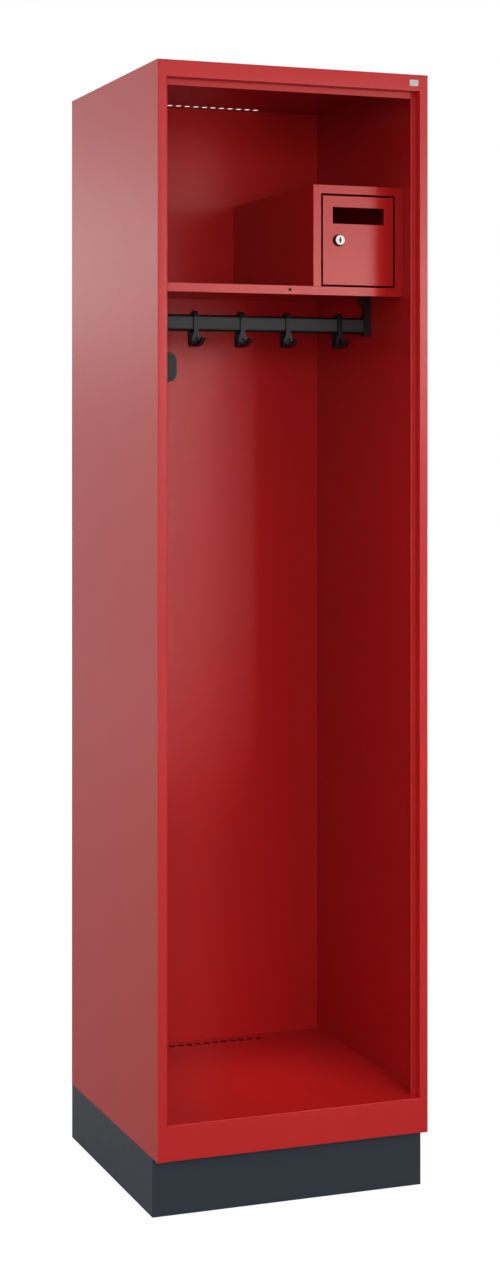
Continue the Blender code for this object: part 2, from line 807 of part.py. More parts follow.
cam_reach = LOCK_INSET + DOOR_GAP + CAM_OVERLAP
half_cam = CAM_WIDTH / 2
cam_outline = []
for step in range(OVAL_SIDES + 1):
    turn = math.pi * step / OVAL_SIDES
    across = lock_place[0] + half_cam * math.cos(turn)
    cam_outline.append((across, lock_place[1] + half_cam * math.sin(turn)))
cam_outline.append((lock_place[0] - half_cam, lock_place[1] - cam_reach))
cam_outline.append((lock_place[0] + half_cam, lock_place[1] - cam_reach))
lock_cam = prism("lock_cam", cam_outline, "Y", cam_front, cam_rear)
half_hole = half_tang + FIT_GAP
cut(lock_cam, lock_block("tang_hole", half_hole, half_hole, cam_front - CUT_PAST, cam_rear + CUT_PAST))
finish(lock_cam, ZINC_PLATE)

cam_screw_profile = [
    (CAM_SCREW_HEAD_DIAMETER / 2, cam_rear + FIT_GAP + CAM_SCREW_HEAD_HEIGHT),
    (CAM_SCREW_HEAD_DIAMETER / 2, cam_rear + FIT_GAP),
    (CAM_SCREW_DIAMETER / 2, cam_rear + FIT_GAP),
    (CAM_SCREW_DIAMETER / 2, screw_end),
]
cam_screw = turned("cam_screw", "Y", lock_place, cam_screw_profile, SMALL_SIDES)
finish(cam_screw, ZINC_PLATE, round_piece=True)

# Coat rail: a flat-sided oval tube whose ends sit in the brackets
rail_y = front + RAIL_SETBACK
rail_z = shelf_top - RAIL_DROP
rail_centre = (rail_y, rail_z)
rail_radius = RAIL_WIDTH / 2
rail_straight = RAIL_HEIGHT / 2 - rail_radius
bracket_outer = fit_half - SHEET - FIT_GAP
rail_end = bracket_outer - SOCKET_END_WALL - FIT_GAP


def oval_loop(grow, along):
    """The rail's oval, grown or shrunk all round, at one place along the rail."""
    outline = oval(rail_centre, rail_radius + grow, rail_straight, rail_radius + grow, rail_radius + grow)
    return [placed("X", point, along) for point in outline]


coat_rail = looped(
    "coat_rail",
    [
        oval_loop(0, -rail_end),
        oval_loop(0, rail_end),
        oval_loop(-RAIL_WALL, rail_end),
        oval_loop(-RAIL_WALL, -rail_end),
    ],
    closed=True,
)
finish(coat_rail, DARK_RAIL, round_piece=True)

# Rail brackets: socket, neck and a head that is screwed up to the shelf
head_top = shelf_under - FIT_GAP
socket_radius = rail_radius + FIT_GAP
socket_low = rail_z - RAIL_HEIGHT / 2 - FIT_GAP - SOCKET_WALL
socket_high = rail_z + RAIL_HEIGHT / 2 + FIT_GAP + SOCKET_WALL
screw_x = bracket_outer - RAIL_SCREW_INSET
screw_seat = shelf_top + FIT_GAP
rail_screw_hole = RAIL_SCREW_DIAMETER + 2 * FIT_GAP
screw_number = 0
for hand, name in ((-1, "rail_bracket_left"), (1, "rail_bracket_right")):
    side_view = [
        (bracket_outer, socket_low),
        (bracket_outer, head_top),
        (bracket_outer - HEAD_LENGTH, head_top),
        (bracket_outer - HEAD_LENGTH, head_top - HEAD_THICKNESS),
        (bracket_outer - NECK_WIDTH, head_top - HEAD_THICKNESS - HEAD_SLOPE),
        (bracket_outer - NECK_WIDTH, socket_high),
        (bracket_outer - SOCKET_LENGTH, socket_high),
        (bracket_outer - SOCKET_LENGTH, socket_low),
    ]
    outline = [(hand * across, up) for across, up in side_view]
    bracket = prism(name, outline, "Y", rail_y - BRACKET_WIDTH / 2, rail_y + BRACKET_WIDTH / 2)
    bore_ends = sorted([hand * (rail_end + FIT_GAP), hand * (bracket_outer - SOCKET_LENGTH - CUT_PAST)])
    bore_outline = oval(rail_centre, socket_radius, rail_straight, socket_radius, socket_radius)
    cut(bracket, prism("socket_bore", bore_outline, "X", bore_ends[0], bore_ends[1]))
    for spread in (-1, 1):
        screw_number += 1
        place = (hand * screw_x, rail_y + spread * RAIL_SCREW_SPACING / 2)
        screw_tip = screw_seat - RAIL_SCREW_LENGTH
        screw_profile = [
            (RAIL_SCREW_HEAD_DIAMETER / 2, screw_seat + RAIL_SCREW_HEAD_HEIGHT),
            (RAIL_SCREW_HEAD_DIAMETER / 2, screw_seat),
            (RAIL_SCREW_DIAMETER / 2, screw_seat),
            (RAIL_SCREW_DIAMETER / 2, screw_tip),
        ]
        screw = turned(f"rail_screw_{screw_number}", "Z", place, screw_profile, SMALL_SIDES)
        finish(screw, ZINC_PLATE, round_piece=True)
        hole_top = shelf_top + CUT_PAST
        cut(bracket, rod("screw_hole", "Z", place, rail_screw_hole, screw_tip - FIT_GAP, hole_top))
        cut(hat_shelf, rod("shelf_hole", "Z", place, rail_screw_hole, shelf_under - CUT_PAST, hole_top))
    finish(bracket, BLACK_PLASTIC)

# The shelf also takes the lower hinge pin of the valuables door
cut(hat_shelf, rod("pivot_hole", "Z", hinge_place, pin_hole, shelf_under - CUT_PAST, shelf_top + CUT_PAST))
finish(hat_shelf, RED_COAT)


# Coat hooks: a strap round the rail, a loop below it with a flared web and an eyelet, and a prong
strap_half = rail_radius + FIT_GAP + STRAP_THICKNESS
strap_crown = rail_radius + FIT_GAP + STRAP_CROWN
web_front = strap_half + HOOK_STEP
web_rear = web_front - HOOK_THICKNESS
hook_low = rail_z - HOOK_DROP
hook_lap_z = rail_z - rail_straight + HOOK_LAP


def prong_outline():
    """The prong from the side: its underside curves up to the tip and its back sweeps down again."""
    base = rail_y - PRONG_BASE_REACH
    run = PRONG_TIP_REACH - PRONG_BASE_REACH
    radius = (run**2 + PRONG_TIP_RISE**2) / (2 * PRONG_TIP_RISE)
    sweep = 2 * math.atan2(PRONG_TIP_RISE, run)
    points = [(rail_y - PRONG_ROOT, hook_low), (base, hook_low)]
    for step in range(1, HOOK_BEND_STEPS + 1):
        turn = sweep * step / HOOK_BEND_STEPS
        points.append((base - radius * math.sin(turn), hook_low + radius * (1 - math.cos(turn))))
    tip_top = PRONG_TIP_RISE + PRONG_TIP_HEIGHT
    for step in range(HOOK_BEND_STEPS + 1):
        share = 1 - step / HOOK_BEND_STEPS
        rise = PRONG_ROOT_HEIGHT + (tip_top - PRONG_ROOT_HEIGHT) * math.sin(math.pi / 2 * share)
        points.append((base - run * share, hook_low + rise))
    points.append((rail_y - PRONG_ROOT, hook_low + PRONG_ROOT_HEIGHT))
    return points


def coat_hook(name, hook_x):
    """One hook at its place along the rail."""
    strap_left = hook_x - STRAP_WIDTH / 2
    strap_right = hook_x + STRAP_WIDTH / 2
    outside = oval(rail_centre, strap_half, rail_straight, strap_crown, strap_half)
    inside = oval(rail_centre, socket_radius, rail_straight, socket_radius, socket_radius)
    loops = [
        [placed("X", point, strap_left) for point in outside],
        [placed("X", point, strap_right) for point in outside],
        [placed("X", point, strap_right) for point in inside],
        [placed("X", point, strap_left) for point in inside],
    ]
    hook = looped(name, loops, closed=True)
    loop_path = [
        (rail_y - web_front, hook_low + WEB_WIDE_RISE),
        (rail_y - web_front, hook_low),
        (rail_y + web_front, hook_low),
        (rail_y + web_front, hook_lap_z),
    ]
    loop_bends = (HOOK_FRONT_BEND, HOOK_REAR_BEND)
    loop_outline = folded(loop_path, HOOK_THICKNESS, loop_bends, HOOK_BEND_STEPS)
    loop = prism("loop", loop_outline, "X", hook_x - HOOK_WIDTH / 2, hook_x + HOOK_WIDTH / 2)
    web_low = hook_low + HOOK_FRONT_BEND + HOOK_THICKNESS
    web_outline = [
        (hook_x - WEB_WIDTH / 2, web_low),
        (hook_x + WEB_WIDTH / 2, web_low),
        (hook_x + WEB_WIDTH / 2, hook_low + WEB_WIDE_RISE),
        (strap_right, hook_low + WEB_NARROW_RISE),
        (strap_right, hook_lap_z),
        (strap_left, hook_lap_z),
        (strap_left, hook_low + WEB_NARROW_RISE),
        (hook_x - WEB_WIDTH / 2, hook_low + WEB_WIDE_RISE),
    ]
    web = prism("web", web_outline, "Y", rail_y - web_front, rail_y - web_rear)
    joined(hook, loop, web)
    eyelet_outline = oval(
        (hook_x, hook_low + EYELET_RISE),
        EYELET_WIDTH / 2,
        (EYELET_HEIGHT - EYELET_WIDTH) / 2,
        EYELET_WIDTH / 2,
        EYELET_WIDTH / 2,
    )
    eyelet_front = rail_y - web_front - CUT_PAST
    cut(hook, prism("eyelet", eyelet_outline, "Y", eyelet_front, rail_y - PRONG_ROOT))
    prong = prism("prong", prong_outline(), "X", hook_x - PRONG_WIDTH / 2, hook_x + PRONG_WIDTH / 2)
    joined(hook, prong)
    return finish(hook, BLACK_PLASTIC, round_piece=True)


hook_places = [-half_width + offset for offset in HOOKS_FROM_LEFT]
hook_places.append(MIDDLE_HOOK_X)
hook_places += [half_width - offset for offset in HOOKS_FROM_RIGHT]
for number, hook_x in enumerate(hook_places, 1):
    hook = coat_hook(f"coat_hook_{number}", hook_x)
    carry(pivot(f"hook_slide_{number}", (hook_x, rail_y, rail_z)), [hook])

# Helmet holder: an angle plate on the left wall, its free corners rounded
holder_front = front + HOLDER_SETBACK
holder_high = shelf_top - HOLDER_BELOW_SHELF
holder_low = holder_high - HOLDER_HEIGHT
holder_wall = -fit_half
holder_end = -wall_inside + HOLDER_REACH
holder_path = [
    (holder_wall, holder_front + HOLDER_LEG),
    (holder_wall, holder_front),
    (holder_end, holder_front),
]
helmet_holder = prism(
    "helmet_holder", folded(holder_path, HOLDER_PLATE, BEND_RADIUS, BEND_STEPS), "Z", holder_low, holder_high
)
corner_bm = bmesh.new()
corner_bm.from_mesh(helmet_holder.data)
free_corners = [
    e
    for e in corner_bm.edges
    if min(e.verts[0].co.x, e.verts[1].co.x) > holder_end - HOLDER_PLATE / 2
    and abs(e.verts[0].co.y - e.verts[1].co.y) > HOLDER_PLATE / 2
]
bmesh.ops.bevel(
    corner_bm, geom=free_corners, offset=HOLDER_CORNER, segments=CORNER_STEPS, profile=0.5, affect="EDGES"
)
corner_bm.to_mesh(helmet_holder.data)
corner_bm.free()

# Strip hook: a flat strip bent out from the wall and up at its end
strip_front = front + STRIP_SETBACK
strip_low = shelf_top - STRIP_BELOW_SHELF
strip_end = -wall_inside + STRIP_REACH
strip_path = [
    (-fit_half, strip_low + STRIP_LEG),
    (-fit_half, strip_low),
    (strip_end, strip_low),
    (strip_end, strip_low + STRIP_TIP),
]
strip_outline = folded(strip_path, STRIP_THICKNESS, BEND_RADIUS, BEND_STEPS)
strip_hook = prism("strip_hook", strip_outline, "Y", strip_front, strip_front + STRIP_WIDTH)

# Weld studs inside the left wall carry both, each stud with a nut
holder_middle = (holder_low + holder_high) / 2
holder_stud_y = holder_front + HOLDER_LEG / 2
strip_stud_y = strip_front + STRIP_WIDTH / 2
strip_middle = strip_low + STRIP_LEG / 2 + STRIP_THICKNESS
stud_end = -wall_inside + STUD_LENGTH
stud_hole = STUD_DIAMETER + 2 * FIT_GAP
fixings = [
    (helmet_holder, "holder_nut", (holder_stud_y, holder_middle), HOLDER_PLATE, 1),
    (strip_hook, "strip_nut", (strip_stud_y, strip_middle), STRIP_THICKNESS, 1),
]
for plate, nut_name, middle, plate_thickness, first_number in fixings:
    for offset, number in ((-STUD_SPACING / 2, first_number), (STUD_SPACING / 2, first_number + 1)):
        place = (middle[0], middle[1] + offset)
        joined(left_side_panel, rod("stud", "X", place, STUD_DIAMETER, -half_width + SHEET / 2, stud_end))
        plate_face = -fit_half + plate_thickness
        cut(plate, rod("stud_hole", "X", place, stud_hole, -half_width, plate_face + CUT_PAST))
        nut_foot = plate_face + FIT_GAP
        nut_end = nut_foot + STUD_NUT_HEIGHT
        nut = prism(f"{nut_name}_{number}", hexagon(place, STUD_NUT_ACROSS), "X", nut_foot, nut_end)
        cut(nut, rod("thread", "X", place, stud_hole, nut_foot - CUT_PAST, nut_end + CUT_PAST))
        finish(nut, ZINC_PLATE, round_piece=True)
finish(left_side_panel, RED_COAT)
finish(helmet_holder, DARK_PLATE)
finish(strip_hook, ZINC_PLATE)

# Pivots: the door swings on its pins, and the lock's core turns in the door
door_pivot = pivot("door_hinge", (hinge_place[0], hinge_place[1], lock_place[1]))
carry(door_pivot, [valuables_door, hinge_pin_top, hinge_pin_bottom, lock_housing, lock_nut])
lock_pivot = pivot("lock_axis", (lock_place[0], shelf_front, lock_place[1]))
carry(lock_pivot, [lock_plug, lock_cam, cam_screw])
lock_pivot.location -= door_pivot.location
lock_pivot.parent = door_pivot
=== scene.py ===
import math

import bmesh
import bpy
from mathutils import Matrix, Vector


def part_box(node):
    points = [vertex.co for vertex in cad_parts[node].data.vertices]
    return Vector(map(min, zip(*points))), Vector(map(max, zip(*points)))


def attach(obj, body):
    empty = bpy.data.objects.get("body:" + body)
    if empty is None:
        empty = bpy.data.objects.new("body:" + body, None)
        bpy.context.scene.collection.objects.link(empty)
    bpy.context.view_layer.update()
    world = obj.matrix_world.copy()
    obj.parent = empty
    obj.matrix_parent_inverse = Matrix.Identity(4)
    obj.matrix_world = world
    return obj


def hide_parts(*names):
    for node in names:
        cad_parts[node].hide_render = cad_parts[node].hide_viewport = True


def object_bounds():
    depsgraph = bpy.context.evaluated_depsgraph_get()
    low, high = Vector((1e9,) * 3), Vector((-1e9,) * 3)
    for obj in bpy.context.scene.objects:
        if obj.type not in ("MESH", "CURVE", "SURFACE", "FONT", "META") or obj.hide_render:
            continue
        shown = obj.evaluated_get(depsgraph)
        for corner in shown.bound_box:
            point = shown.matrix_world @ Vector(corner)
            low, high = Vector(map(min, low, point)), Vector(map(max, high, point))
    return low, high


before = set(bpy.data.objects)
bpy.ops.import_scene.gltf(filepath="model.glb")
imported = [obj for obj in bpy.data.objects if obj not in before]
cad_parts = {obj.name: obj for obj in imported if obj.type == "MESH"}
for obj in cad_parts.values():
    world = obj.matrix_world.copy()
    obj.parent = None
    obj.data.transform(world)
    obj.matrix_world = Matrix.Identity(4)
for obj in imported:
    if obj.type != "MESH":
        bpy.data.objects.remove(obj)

cad_low, cad_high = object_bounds()
scene = bpy.context.scene


# Plinth: the ring of folded 1.5 mm sheet steel that the locker stands on, welded at its corners and
# coated in satin anthracite powder. Its top flanges take the bolts that hold the body down.
plinth_colour = (0.0185, 0.0245, 0.0350)
plinth_roughness = 0.42
plinth_edge = 0.0008
join_distance = 1e-6
flat_angle = math.radians(0.5)
clouds_per_metre = 5.0
cloud_detail = 4.0
patches_per_metre = 28.0
patch_detail = 3.0
ripple_detail = 1.5
mean_noise = 0.5


def fixed_mesh(piece):
    """Turns a piece with modifiers into a plain mesh, so that nothing live is left on it."""
    bpy.context.view_layer.update()
    graph = bpy.context.evaluated_depsgraph_get()
    finished = bpy.data.meshes.new_from_object(piece.evaluated_get(graph))
    piece.modifiers.clear()
    old = piece.data
    piece.data = finished
    finished.name = piece.name
    bpy.data.meshes.remove(old)
    return piece


def added(name, work):
    """Puts a finished bmesh into the scene as a piece, smooth shaded."""
    mesh = bpy.data.meshes.new(name)
    work.to_mesh(mesh)
    work.free()
    for face in mesh.polygons:
        face.use_smooth = True
    piece = bpy.data.objects.new(name, mesh)
    scene.collection.objects.link(piece)
    return piece


def welded_copy(node):
    """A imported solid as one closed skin, its triangles joined and its flat faces made whole."""
    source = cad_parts[node].data
    work = bmesh.new()
    corners = [work.verts.new(point.co) for point in source.vertices]
    for face in source.polygons:
        work.faces.new([corners[index] for index in face.vertices])
    bmesh.ops.remove_doubles(work, verts=work.verts[:], dist=join_distance)
    bmesh.ops.dissolve_limit(work, angle_limit=flat_angle, verts=work.verts[:], edges=work.edges[:])
    return work


def edge_rounded(piece, edge, steep=40.0, steps=3):
    """Rounds a piece's steep edges and keeps its faces flat."""
    rounding = piece.modifiers.new("rounded edges", "BEVEL")
    rounding.width = edge
    rounding.segments = steps
    rounding.limit_method = "ANGLE"
    rounding.angle_limit = math.radians(steep)
    flat = piece.modifiers.new("flat faces", "WEIGHTED_NORMAL")
    flat.mode = "FACE_AREA"
    flat.weight = 50
    return fixed_mesh(piece)


def soft_edged(node, name, edge, steep=40.0, steps=2):
    """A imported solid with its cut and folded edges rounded, as deburring and coating leave them."""
    return edge_rounded(added(name, welded_copy(node)), edge, steep, steps)


def wired(tree, kind, feeds, **settings):
    """A node of a tree, with its properties set and its inputs fed by sockets or plain values."""
    node = tree.nodes.new(kind)
    for key, value in settings.items():
        setattr(node, key, value)
    for label, term in feeds.items():
        if isinstance(term, bpy.types.NodeSocket):
            tree.links.new(term, node.inputs[label])
        else:
            node.inputs[label].default_value = term
    return node


def worked(tree, operation, *terms):
    """One sum on numbers or on other nodes' values."""
    return wired(tree, "ShaderNodeMath", dict(enumerate(terms)), operation=operation).outputs[0]


def noise(tree, place, scale, detail):
    """Cloudy noise over a piece, with so many clouds to a metre."""
    feeds = {"Vector": place, "Scale": scale, "Detail": detail}
    return wired(tree, "ShaderNodeTexNoise", feeds).outputs["Fac"]


def node_tree(name, kind, inputs, outputs):
    """A tree with named inputs and outputs, and the sockets of its entry and of its exit."""
    tree = bpy.data.node_groups.new(name, kind)
    for way, sockets in (("INPUT", inputs), ("OUTPUT", outputs)):
        for label, sort in sockets.items():
            tree.interface.new_socket(label, in_out=way, socket_type=f"NodeSocket{sort}")
    entry = tree.nodes.new("NodeGroupInput")
    leave = tree.nodes.new("NodeGroupOutput")
    return tree, entry.outputs, leave.inputs


def powder_group():
    """Cured powder coat: broad clouds of shade, patches of gloss, and the fine ripple of its skin."""
    tree, entry, leave = node_tree(
        "cured powder",
        "ShaderNodeTree",
        {
            "Place": "Vector",
            "Colour": "Color",
            "Clouding": "Float",
            "Roughness": "Float",
            "Patchiness": "Float",
            "Ripples per metre": "Float",
        },
        {"Colour": "Color", "Roughness": "Float", "Ripple": "Float"},
    )
    clouds = noise(tree, entry["Place"], clouds_per_metre, cloud_detail)
    shade = worked(tree, "SUBTRACT", clouds, mean_noise)
    depth = worked(tree, "MULTIPLY_ADD", shade, entry["Clouding"], 1.0)
    tints = {0: entry["Colour"], "Scale": depth}
    tinted = wired(tree, "ShaderNodeVectorMath", tints, operation="SCALE")
    tree.links.new(tinted.outputs[0], leave["Colour"])
    patches = noise(tree, entry["Place"], patches_per_metre, patch_detail)
    uneven = worked(tree, "SUBTRACT", patches, mean_noise)
    gloss = worked(tree, "MULTIPLY_ADD", uneven, entry["Patchiness"], entry["Roughness"])
    tree.links.new(gloss, leave["Roughness"])
    peel = noise(tree, entry["Place"], entry["Ripples per metre"], ripple_detail)
    tree.links.new(peel, leave["Ripple"])
    return tree


cured_powder = powder_group()


def new_finish(name):
    """A new finish: the material, its tree, the inputs of its skin, and the place on the piece."""
    finish = bpy.data.materials.new(name)
    finish.use_nodes = True
    tree = finish.node_tree
    place = tree.nodes.new("ShaderNodeTexCoord").outputs["Object"]
    return finish, tree, tree.nodes["Principled BSDF"].inputs, place


def powder_coat(
    name,
    colour,
    roughness,
    clouding=0.10,
    patchiness=0.06,
    ripple=0.00004,
    ripples_per_metre=420.0,
    relief=0.6,
    gloss=1.5,
):
    """A coat of powder over steel: one dielectric skin with its ripple as a very low bump."""
    finish, tree, skin, place = new_finish(name)
    values = {
        "Place": place,
        "Colour": (*colour, 1.0),
        "Clouding": clouding,
        "Roughness": roughness,
        "Patchiness": patchiness,
        "Ripples per metre": ripples_per_metre,
    }
    powder = wired(tree, "ShaderNodeGroup", values, node_tree=cured_powder).outputs
    heights = {"Height": powder["Ripple"], "Distance": ripple, "Strength": relief}
    bump = wired(tree, "ShaderNodeBump", heights)
    tree.links.new(powder["Colour"], skin["Base Color"])
    tree.links.new(powder["Roughness"], skin["Roughness"])
    tree.links.new(bump.outputs["Normal"], skin["Normal"])
    skin["IOR"].default_value = gloss
    return finish


def fitted(piece, body, slot, finish, *nodes):
    """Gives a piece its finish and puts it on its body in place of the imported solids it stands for."""
    piece.data.materials.clear()
    piece.data.materials.append(finish)
    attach(piece, body)
    if nodes:
        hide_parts(*nodes)
    return piece


anthracite_coat = powder_coat(
    "anthracite coat", plinth_colour, plinth_roughness, clouding=0.12, patchiness=0.08
)
plinth = soft_edged("plinth_frame", "plinth_ring", plinth_edge)
fitted(plinth, "cabinet", "anthracite_coat", anthracite_coat, "plinth_frame")


# Plinth bolts: four M8 hexagon bolts, cold-headed with a chamfered crown, with rolled threads and
# bright zinc plate. They go down through the body's feet and clamp it to the plinth's top flange.
plate_colour = (0.56, 0.57, 0.58)
plate_roughness = 0.30
spangles_per_metre = 900.0
spangle_shade = 0.86
spangle_smoother = 0.06
spangle_rougher = 0.08
bolt_across = 0.0130
bolt_head = 0.0055
bolt_radius = 0.0040
bolt_length = 0.0200
bolt_plain = 0.0020
bolt_pitch = 0.00125
bolt_thread = 0.0007
washer_face = 0.0004
hexagon_start = 0.0005
crown_share = 0.475
dish_share = 0.40
dish_floor_share = 0.38
dish_depth = 0.0003
chamfer = math.tan(math.radians(30.0))
round_steps = 48
crisp_angle = math.radians(28.0)


def ranged(tree, value, start, end, low, high, fade="LINEAR"):
    """Carries a value from one range over to another, and holds it at the ends."""
    limits = {"Value": value, "From Min": start, "From Max": end, "To Min": low, "To Max": high}
    return wired(tree, "ShaderNodeMapRange", limits, interpolation_type=fade).outputs["Result"]


def metal_skin(tree, skin, tone_from, gloss_from, colour, shade, gloss_low, gloss_high):
    """Clear metal that darkens to a shade of its colour, and changes in gloss, with two patterns."""
    tone = wired(tree, "ShaderNodeValToRGB", {"Fac": tone_from})
    tone.color_ramp.elements[0].color = (*[shade * part for part in colour], 1.0)
    tone.color_ramp.elements[1].color = (*colour, 1.0)
    gloss = ranged(tree, gloss_from, 0.0, 1.0, gloss_low, gloss_high)
    tree.links.new(tone.outputs["Color"], skin["Base Color"])
    tree.links.new(gloss, skin["Roughness"])
    skin["Metallic"].default_value = 1.0


def zinc_finish(name, colour, roughness):
    """Bright zinc plate: clear metal with faint spangle in its colour and its gloss."""
    finish, tree, skin, place = new_finish(name)
    feeds = {"Vector": place, "Scale": spangles_per_metre}
    spangle = wired(tree, "ShaderNodeTexVoronoi", feeds).outputs
    smooth, rough = roughness - spangle_smoother, roughness + spangle_rougher
    metal_skin(tree, skin, spangle["Color"], spangle["Distance"], colour, spangle_shade, smooth, rough)
    return finish


def made_real(tree, instances, finish, leave):
    """Ends a tree: makes its instances real, gives them their finish and hands them out."""
    real = wired(tree, "GeometryNodeRealizeInstances", {0: instances})
    coat = wired(tree, "GeometryNodeSetMaterial", {"Geometry": real.outputs[0], "Material": finish})
    tree.links.new(coat.outputs[0], leave)


def row_tree():
    """Sets one finished pattern piece out in rows and columns and makes it real."""
    tree, entry, leave = node_tree(
        "rows of one pattern",
        "GeometryNodeTree",
        {
            "Geometry": "Geometry",
            "Pattern": "Object",
            "First": "Vector",
            "Count": "Int",
            "Pitch": "Vector",
            "Rows": "Int",
            "Row pitch": "Vector",
            "Turn": "Rotation",
            "Finish": "Material",
        },
        {"Geometry": "Geometry"},
    )
    along = {"Count": entry["Count"], "Offset": entry["Pitch"]}
    row = wired(tree, "GeometryNodeMeshLine", along, mode="OFFSET")
    across = {"Count": entry["Rows"], "Start Location": entry["First"], "Offset": entry["Row pitch"]}
    rows = wired(tree, "GeometryNodeMeshLine", across, mode="OFFSET")
    crossed = {"Points": rows.outputs["Mesh"], "Instance": row.outputs["Mesh"]}
    field = wired(tree, "GeometryNodeInstanceOnPoints", crossed)
    spots = wired(tree, "GeometryNodeRealizeInstances", {0: field.outputs[0]})
    pattern = wired(tree, "GeometryNodeObjectInfo", {"Object": entry["Pattern"]})
    copies = {
        "Points": spots.outputs[0],
        "Instance": pattern.outputs["Geometry"],
        "Rotation": entry["Turn"],
    }
    placed = wired(tree, "GeometryNodeInstanceOnPoints", copies)
    made_real(tree, placed.outputs[0], entry["Finish"], leave["Geometry"])
    return tree


def grown(name, tree, **values):
    """Runs a tree with its named inputs set and keeps the result as a plain piece."""
    piece = bpy.data.objects.new(name, bpy.data.meshes.new(name))
    growth = piece.modifiers.new("growth", "NODES")
    growth.node_group = tree
    for item in tree.interface.items_tree:
        key = item.name.replace(" ", "_")
        if item.in_out == "INPUT" and key in values:
            growth[item.identifier] = values[key]
    scene.collection.objects.link(piece)
    return fixed_mesh(piece)


def ring(radius, height):
    """Points of a circle round the height axis."""
    turns = [math.tau * step / round_steps for step in range(round_steps)]
    return [(radius * math.cos(turn), radius * math.sin(turn), height) for turn in turns]


def hexagon(across, height, drop=0.0):
    """Points round a hexagon; those beyond its flats can be dropped, as a chamfered crown is."""
    points = []
    for step in range(round_steps):
        turn = math.tau * step / round_steps
        reach = 0.5 * across / math.cos(turn % (math.pi / 3.0) - math.pi / 6.0)
        fall = drop * (reach - crown_share * across)
        points.append((reach * math.cos(turn), reach * math.sin(turn), height - fall))
    return points


def skinned(name, rings, closed=False):
    """A skin over rings of points, its ends capped, or joined to each other for a piece with a bore."""
    work = bmesh.new()
    rows = [[work.verts.new(point) for point in points] for points in rings]
    pairs = list(zip(rows, rows[1:]))
    if closed:
        pairs.append((rows[-1], rows[0]))
    else:
        work.faces.new(rows[0])
        work.faces.new(rows[-1])
    for first, second in pairs:
        for number in range(len(first)):
            after = (number + 1) % len(first)
            work.faces.new((first[number], first[after], second[after], second[number]))
    bmesh.ops.recalc_face_normals(work, faces=work.faces[:])
    piece = added(name, work)
    piece.data.set_sharp_from_angle(angle=crisp_angle)
    return piece


def thread(radius, depth, low, high, pitch):
    """Rings of a rolled thread from its end up to the plain shank."""
    rings = [ring(radius - depth, low)]
    height = low + 0.5 * pitch
    while height < high:
        rings.append(ring(radius, height))
        rings.append(ring(radius - depth, height + 0.5 * pitch))
        height += pitch
    rings.append(ring(radius, high))
    return rings


def box_low(node):
    """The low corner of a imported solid's box."""
    points = [point.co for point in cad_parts[node].data.vertices]
    return Vector([min(parts) for parts in zip(*points)])


def box_middle(node):
    """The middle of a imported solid's box."""
    points = [point.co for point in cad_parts[node].data.vertices]
    high = Vector([max(parts) for parts in zip(*points)])
    return 0.5 * (box_low(node) + high)


set_out = row_tree()
zinc_plate = zinc_finish("zinc plate", plate_colour, plate_roughness)
bolt_rings = thread(bolt_radius, bolt_thread, -bolt_length, -bolt_plain, bolt_pitch)
bolt_rings += [
    ring(bolt_radius, 0.0),
    ring(crown_share * bolt_across, 0.0),
    ring(crown_share * bolt_across, washer_face),
    hexagon(bolt_across, hexagon_start),
    hexagon(bolt_across, bolt_head, chamfer),
    ring(crown_share * bolt_across, bolt_head),
    ring(dish_share * bolt_across, bolt_head),
    ring(dish_floor_share * bolt_across, bolt_head - dish_depth),
]
bolt_pattern = skinned("bolt_pattern", bolt_rings)
for row, first, second in (("front", 1, 2), ("rear", 3, 4)):
    place = box_middle(f"plinth_bolt_{first}")
    place.z = box_low(f"plinth_bolt_{first}").z + bolt_length
    bolts = grown(
        f"plinth_hex_bolts_{row}",
        set_out,
        Pattern=bolt_pattern,
        First=place,
        Count=2,
        Pitch=(-2.0 * place.x, 0.0, 0.0),
        Rows=1,
        Finish=zinc_plate,
    )
    fitted(bolts, "cabinet", "zinc_plate", zinc_plate, f"plinth_bolt_{first}", f"plinth_bolt_{second}")
bpy.data.objects.remove(bolt_pattern)


# Body shell: two side panels, a back, a top and a floor of 1 mm sheet steel, each cut, punched and
# folded in one piece, spot welded together and coated in semi-gloss flame-red powder. The back is
# deepest in the spray booth's shade, and its thinner coat has less gloss.
shell_colour = (0.405, 0.0095, 0.0098)
shell_roughness = 0.25
shell_clouding = 0.07
shell_patchiness = 0.05
thin_gloss = 1.34
sheet_edge = 0.00035

shell_coat = (shell_colour, shell_roughness, shell_clouding, shell_patchiness)
red_coat = powder_coat("flame red coat", *shell_coat)
thin_coat = powder_coat("thin flame red coat", *shell_coat, gloss=thin_gloss)
for node, name, coat in (
    ("left_side_panel", "left_side_sheet", red_coat),
    ("right_side_panel", "right_side_sheet", red_coat),
    ("back_panel", "back_sheet", thin_coat),
    ("top_panel", "top_sheet", red_coat),
    ("floor_panel", "floor_sheet", red_coat),
):
    sheet = soft_edged(node, name, sheet_edge)
    fitted(sheet, "cabinet", "red_coat", coat, node)


# Seams of the shell: the welds that close the corners of the front frame and the lines where the
# sheets meet. They are ground flush in front, filled inside with a fine bead, and coated over.
seam_proud = 0.00003
corner_span = (0.2328, 0.2362)
corner_rear = -0.2485
upper_corner = (1.9222, 1.9492)
lower_corner = (0.1012, 0.1596)
stile_top_span = (0.2335, 0.2497)
stile_top_rear = -0.2487
stile_top = (1.9470, 1.9493)
top_seam_inner = 0.2483
top_seam_reach = 0.2494
top_seam = (1.9479, 1.9493)
fillet_size = 0.0007
fillet_hollow = 0.35
inside = (0.2490, 0.2457)
inside_low = 0.1610
inside_high = 1.9490
frame_rear = -0.2280
bend_angle = math.radians(50.0)


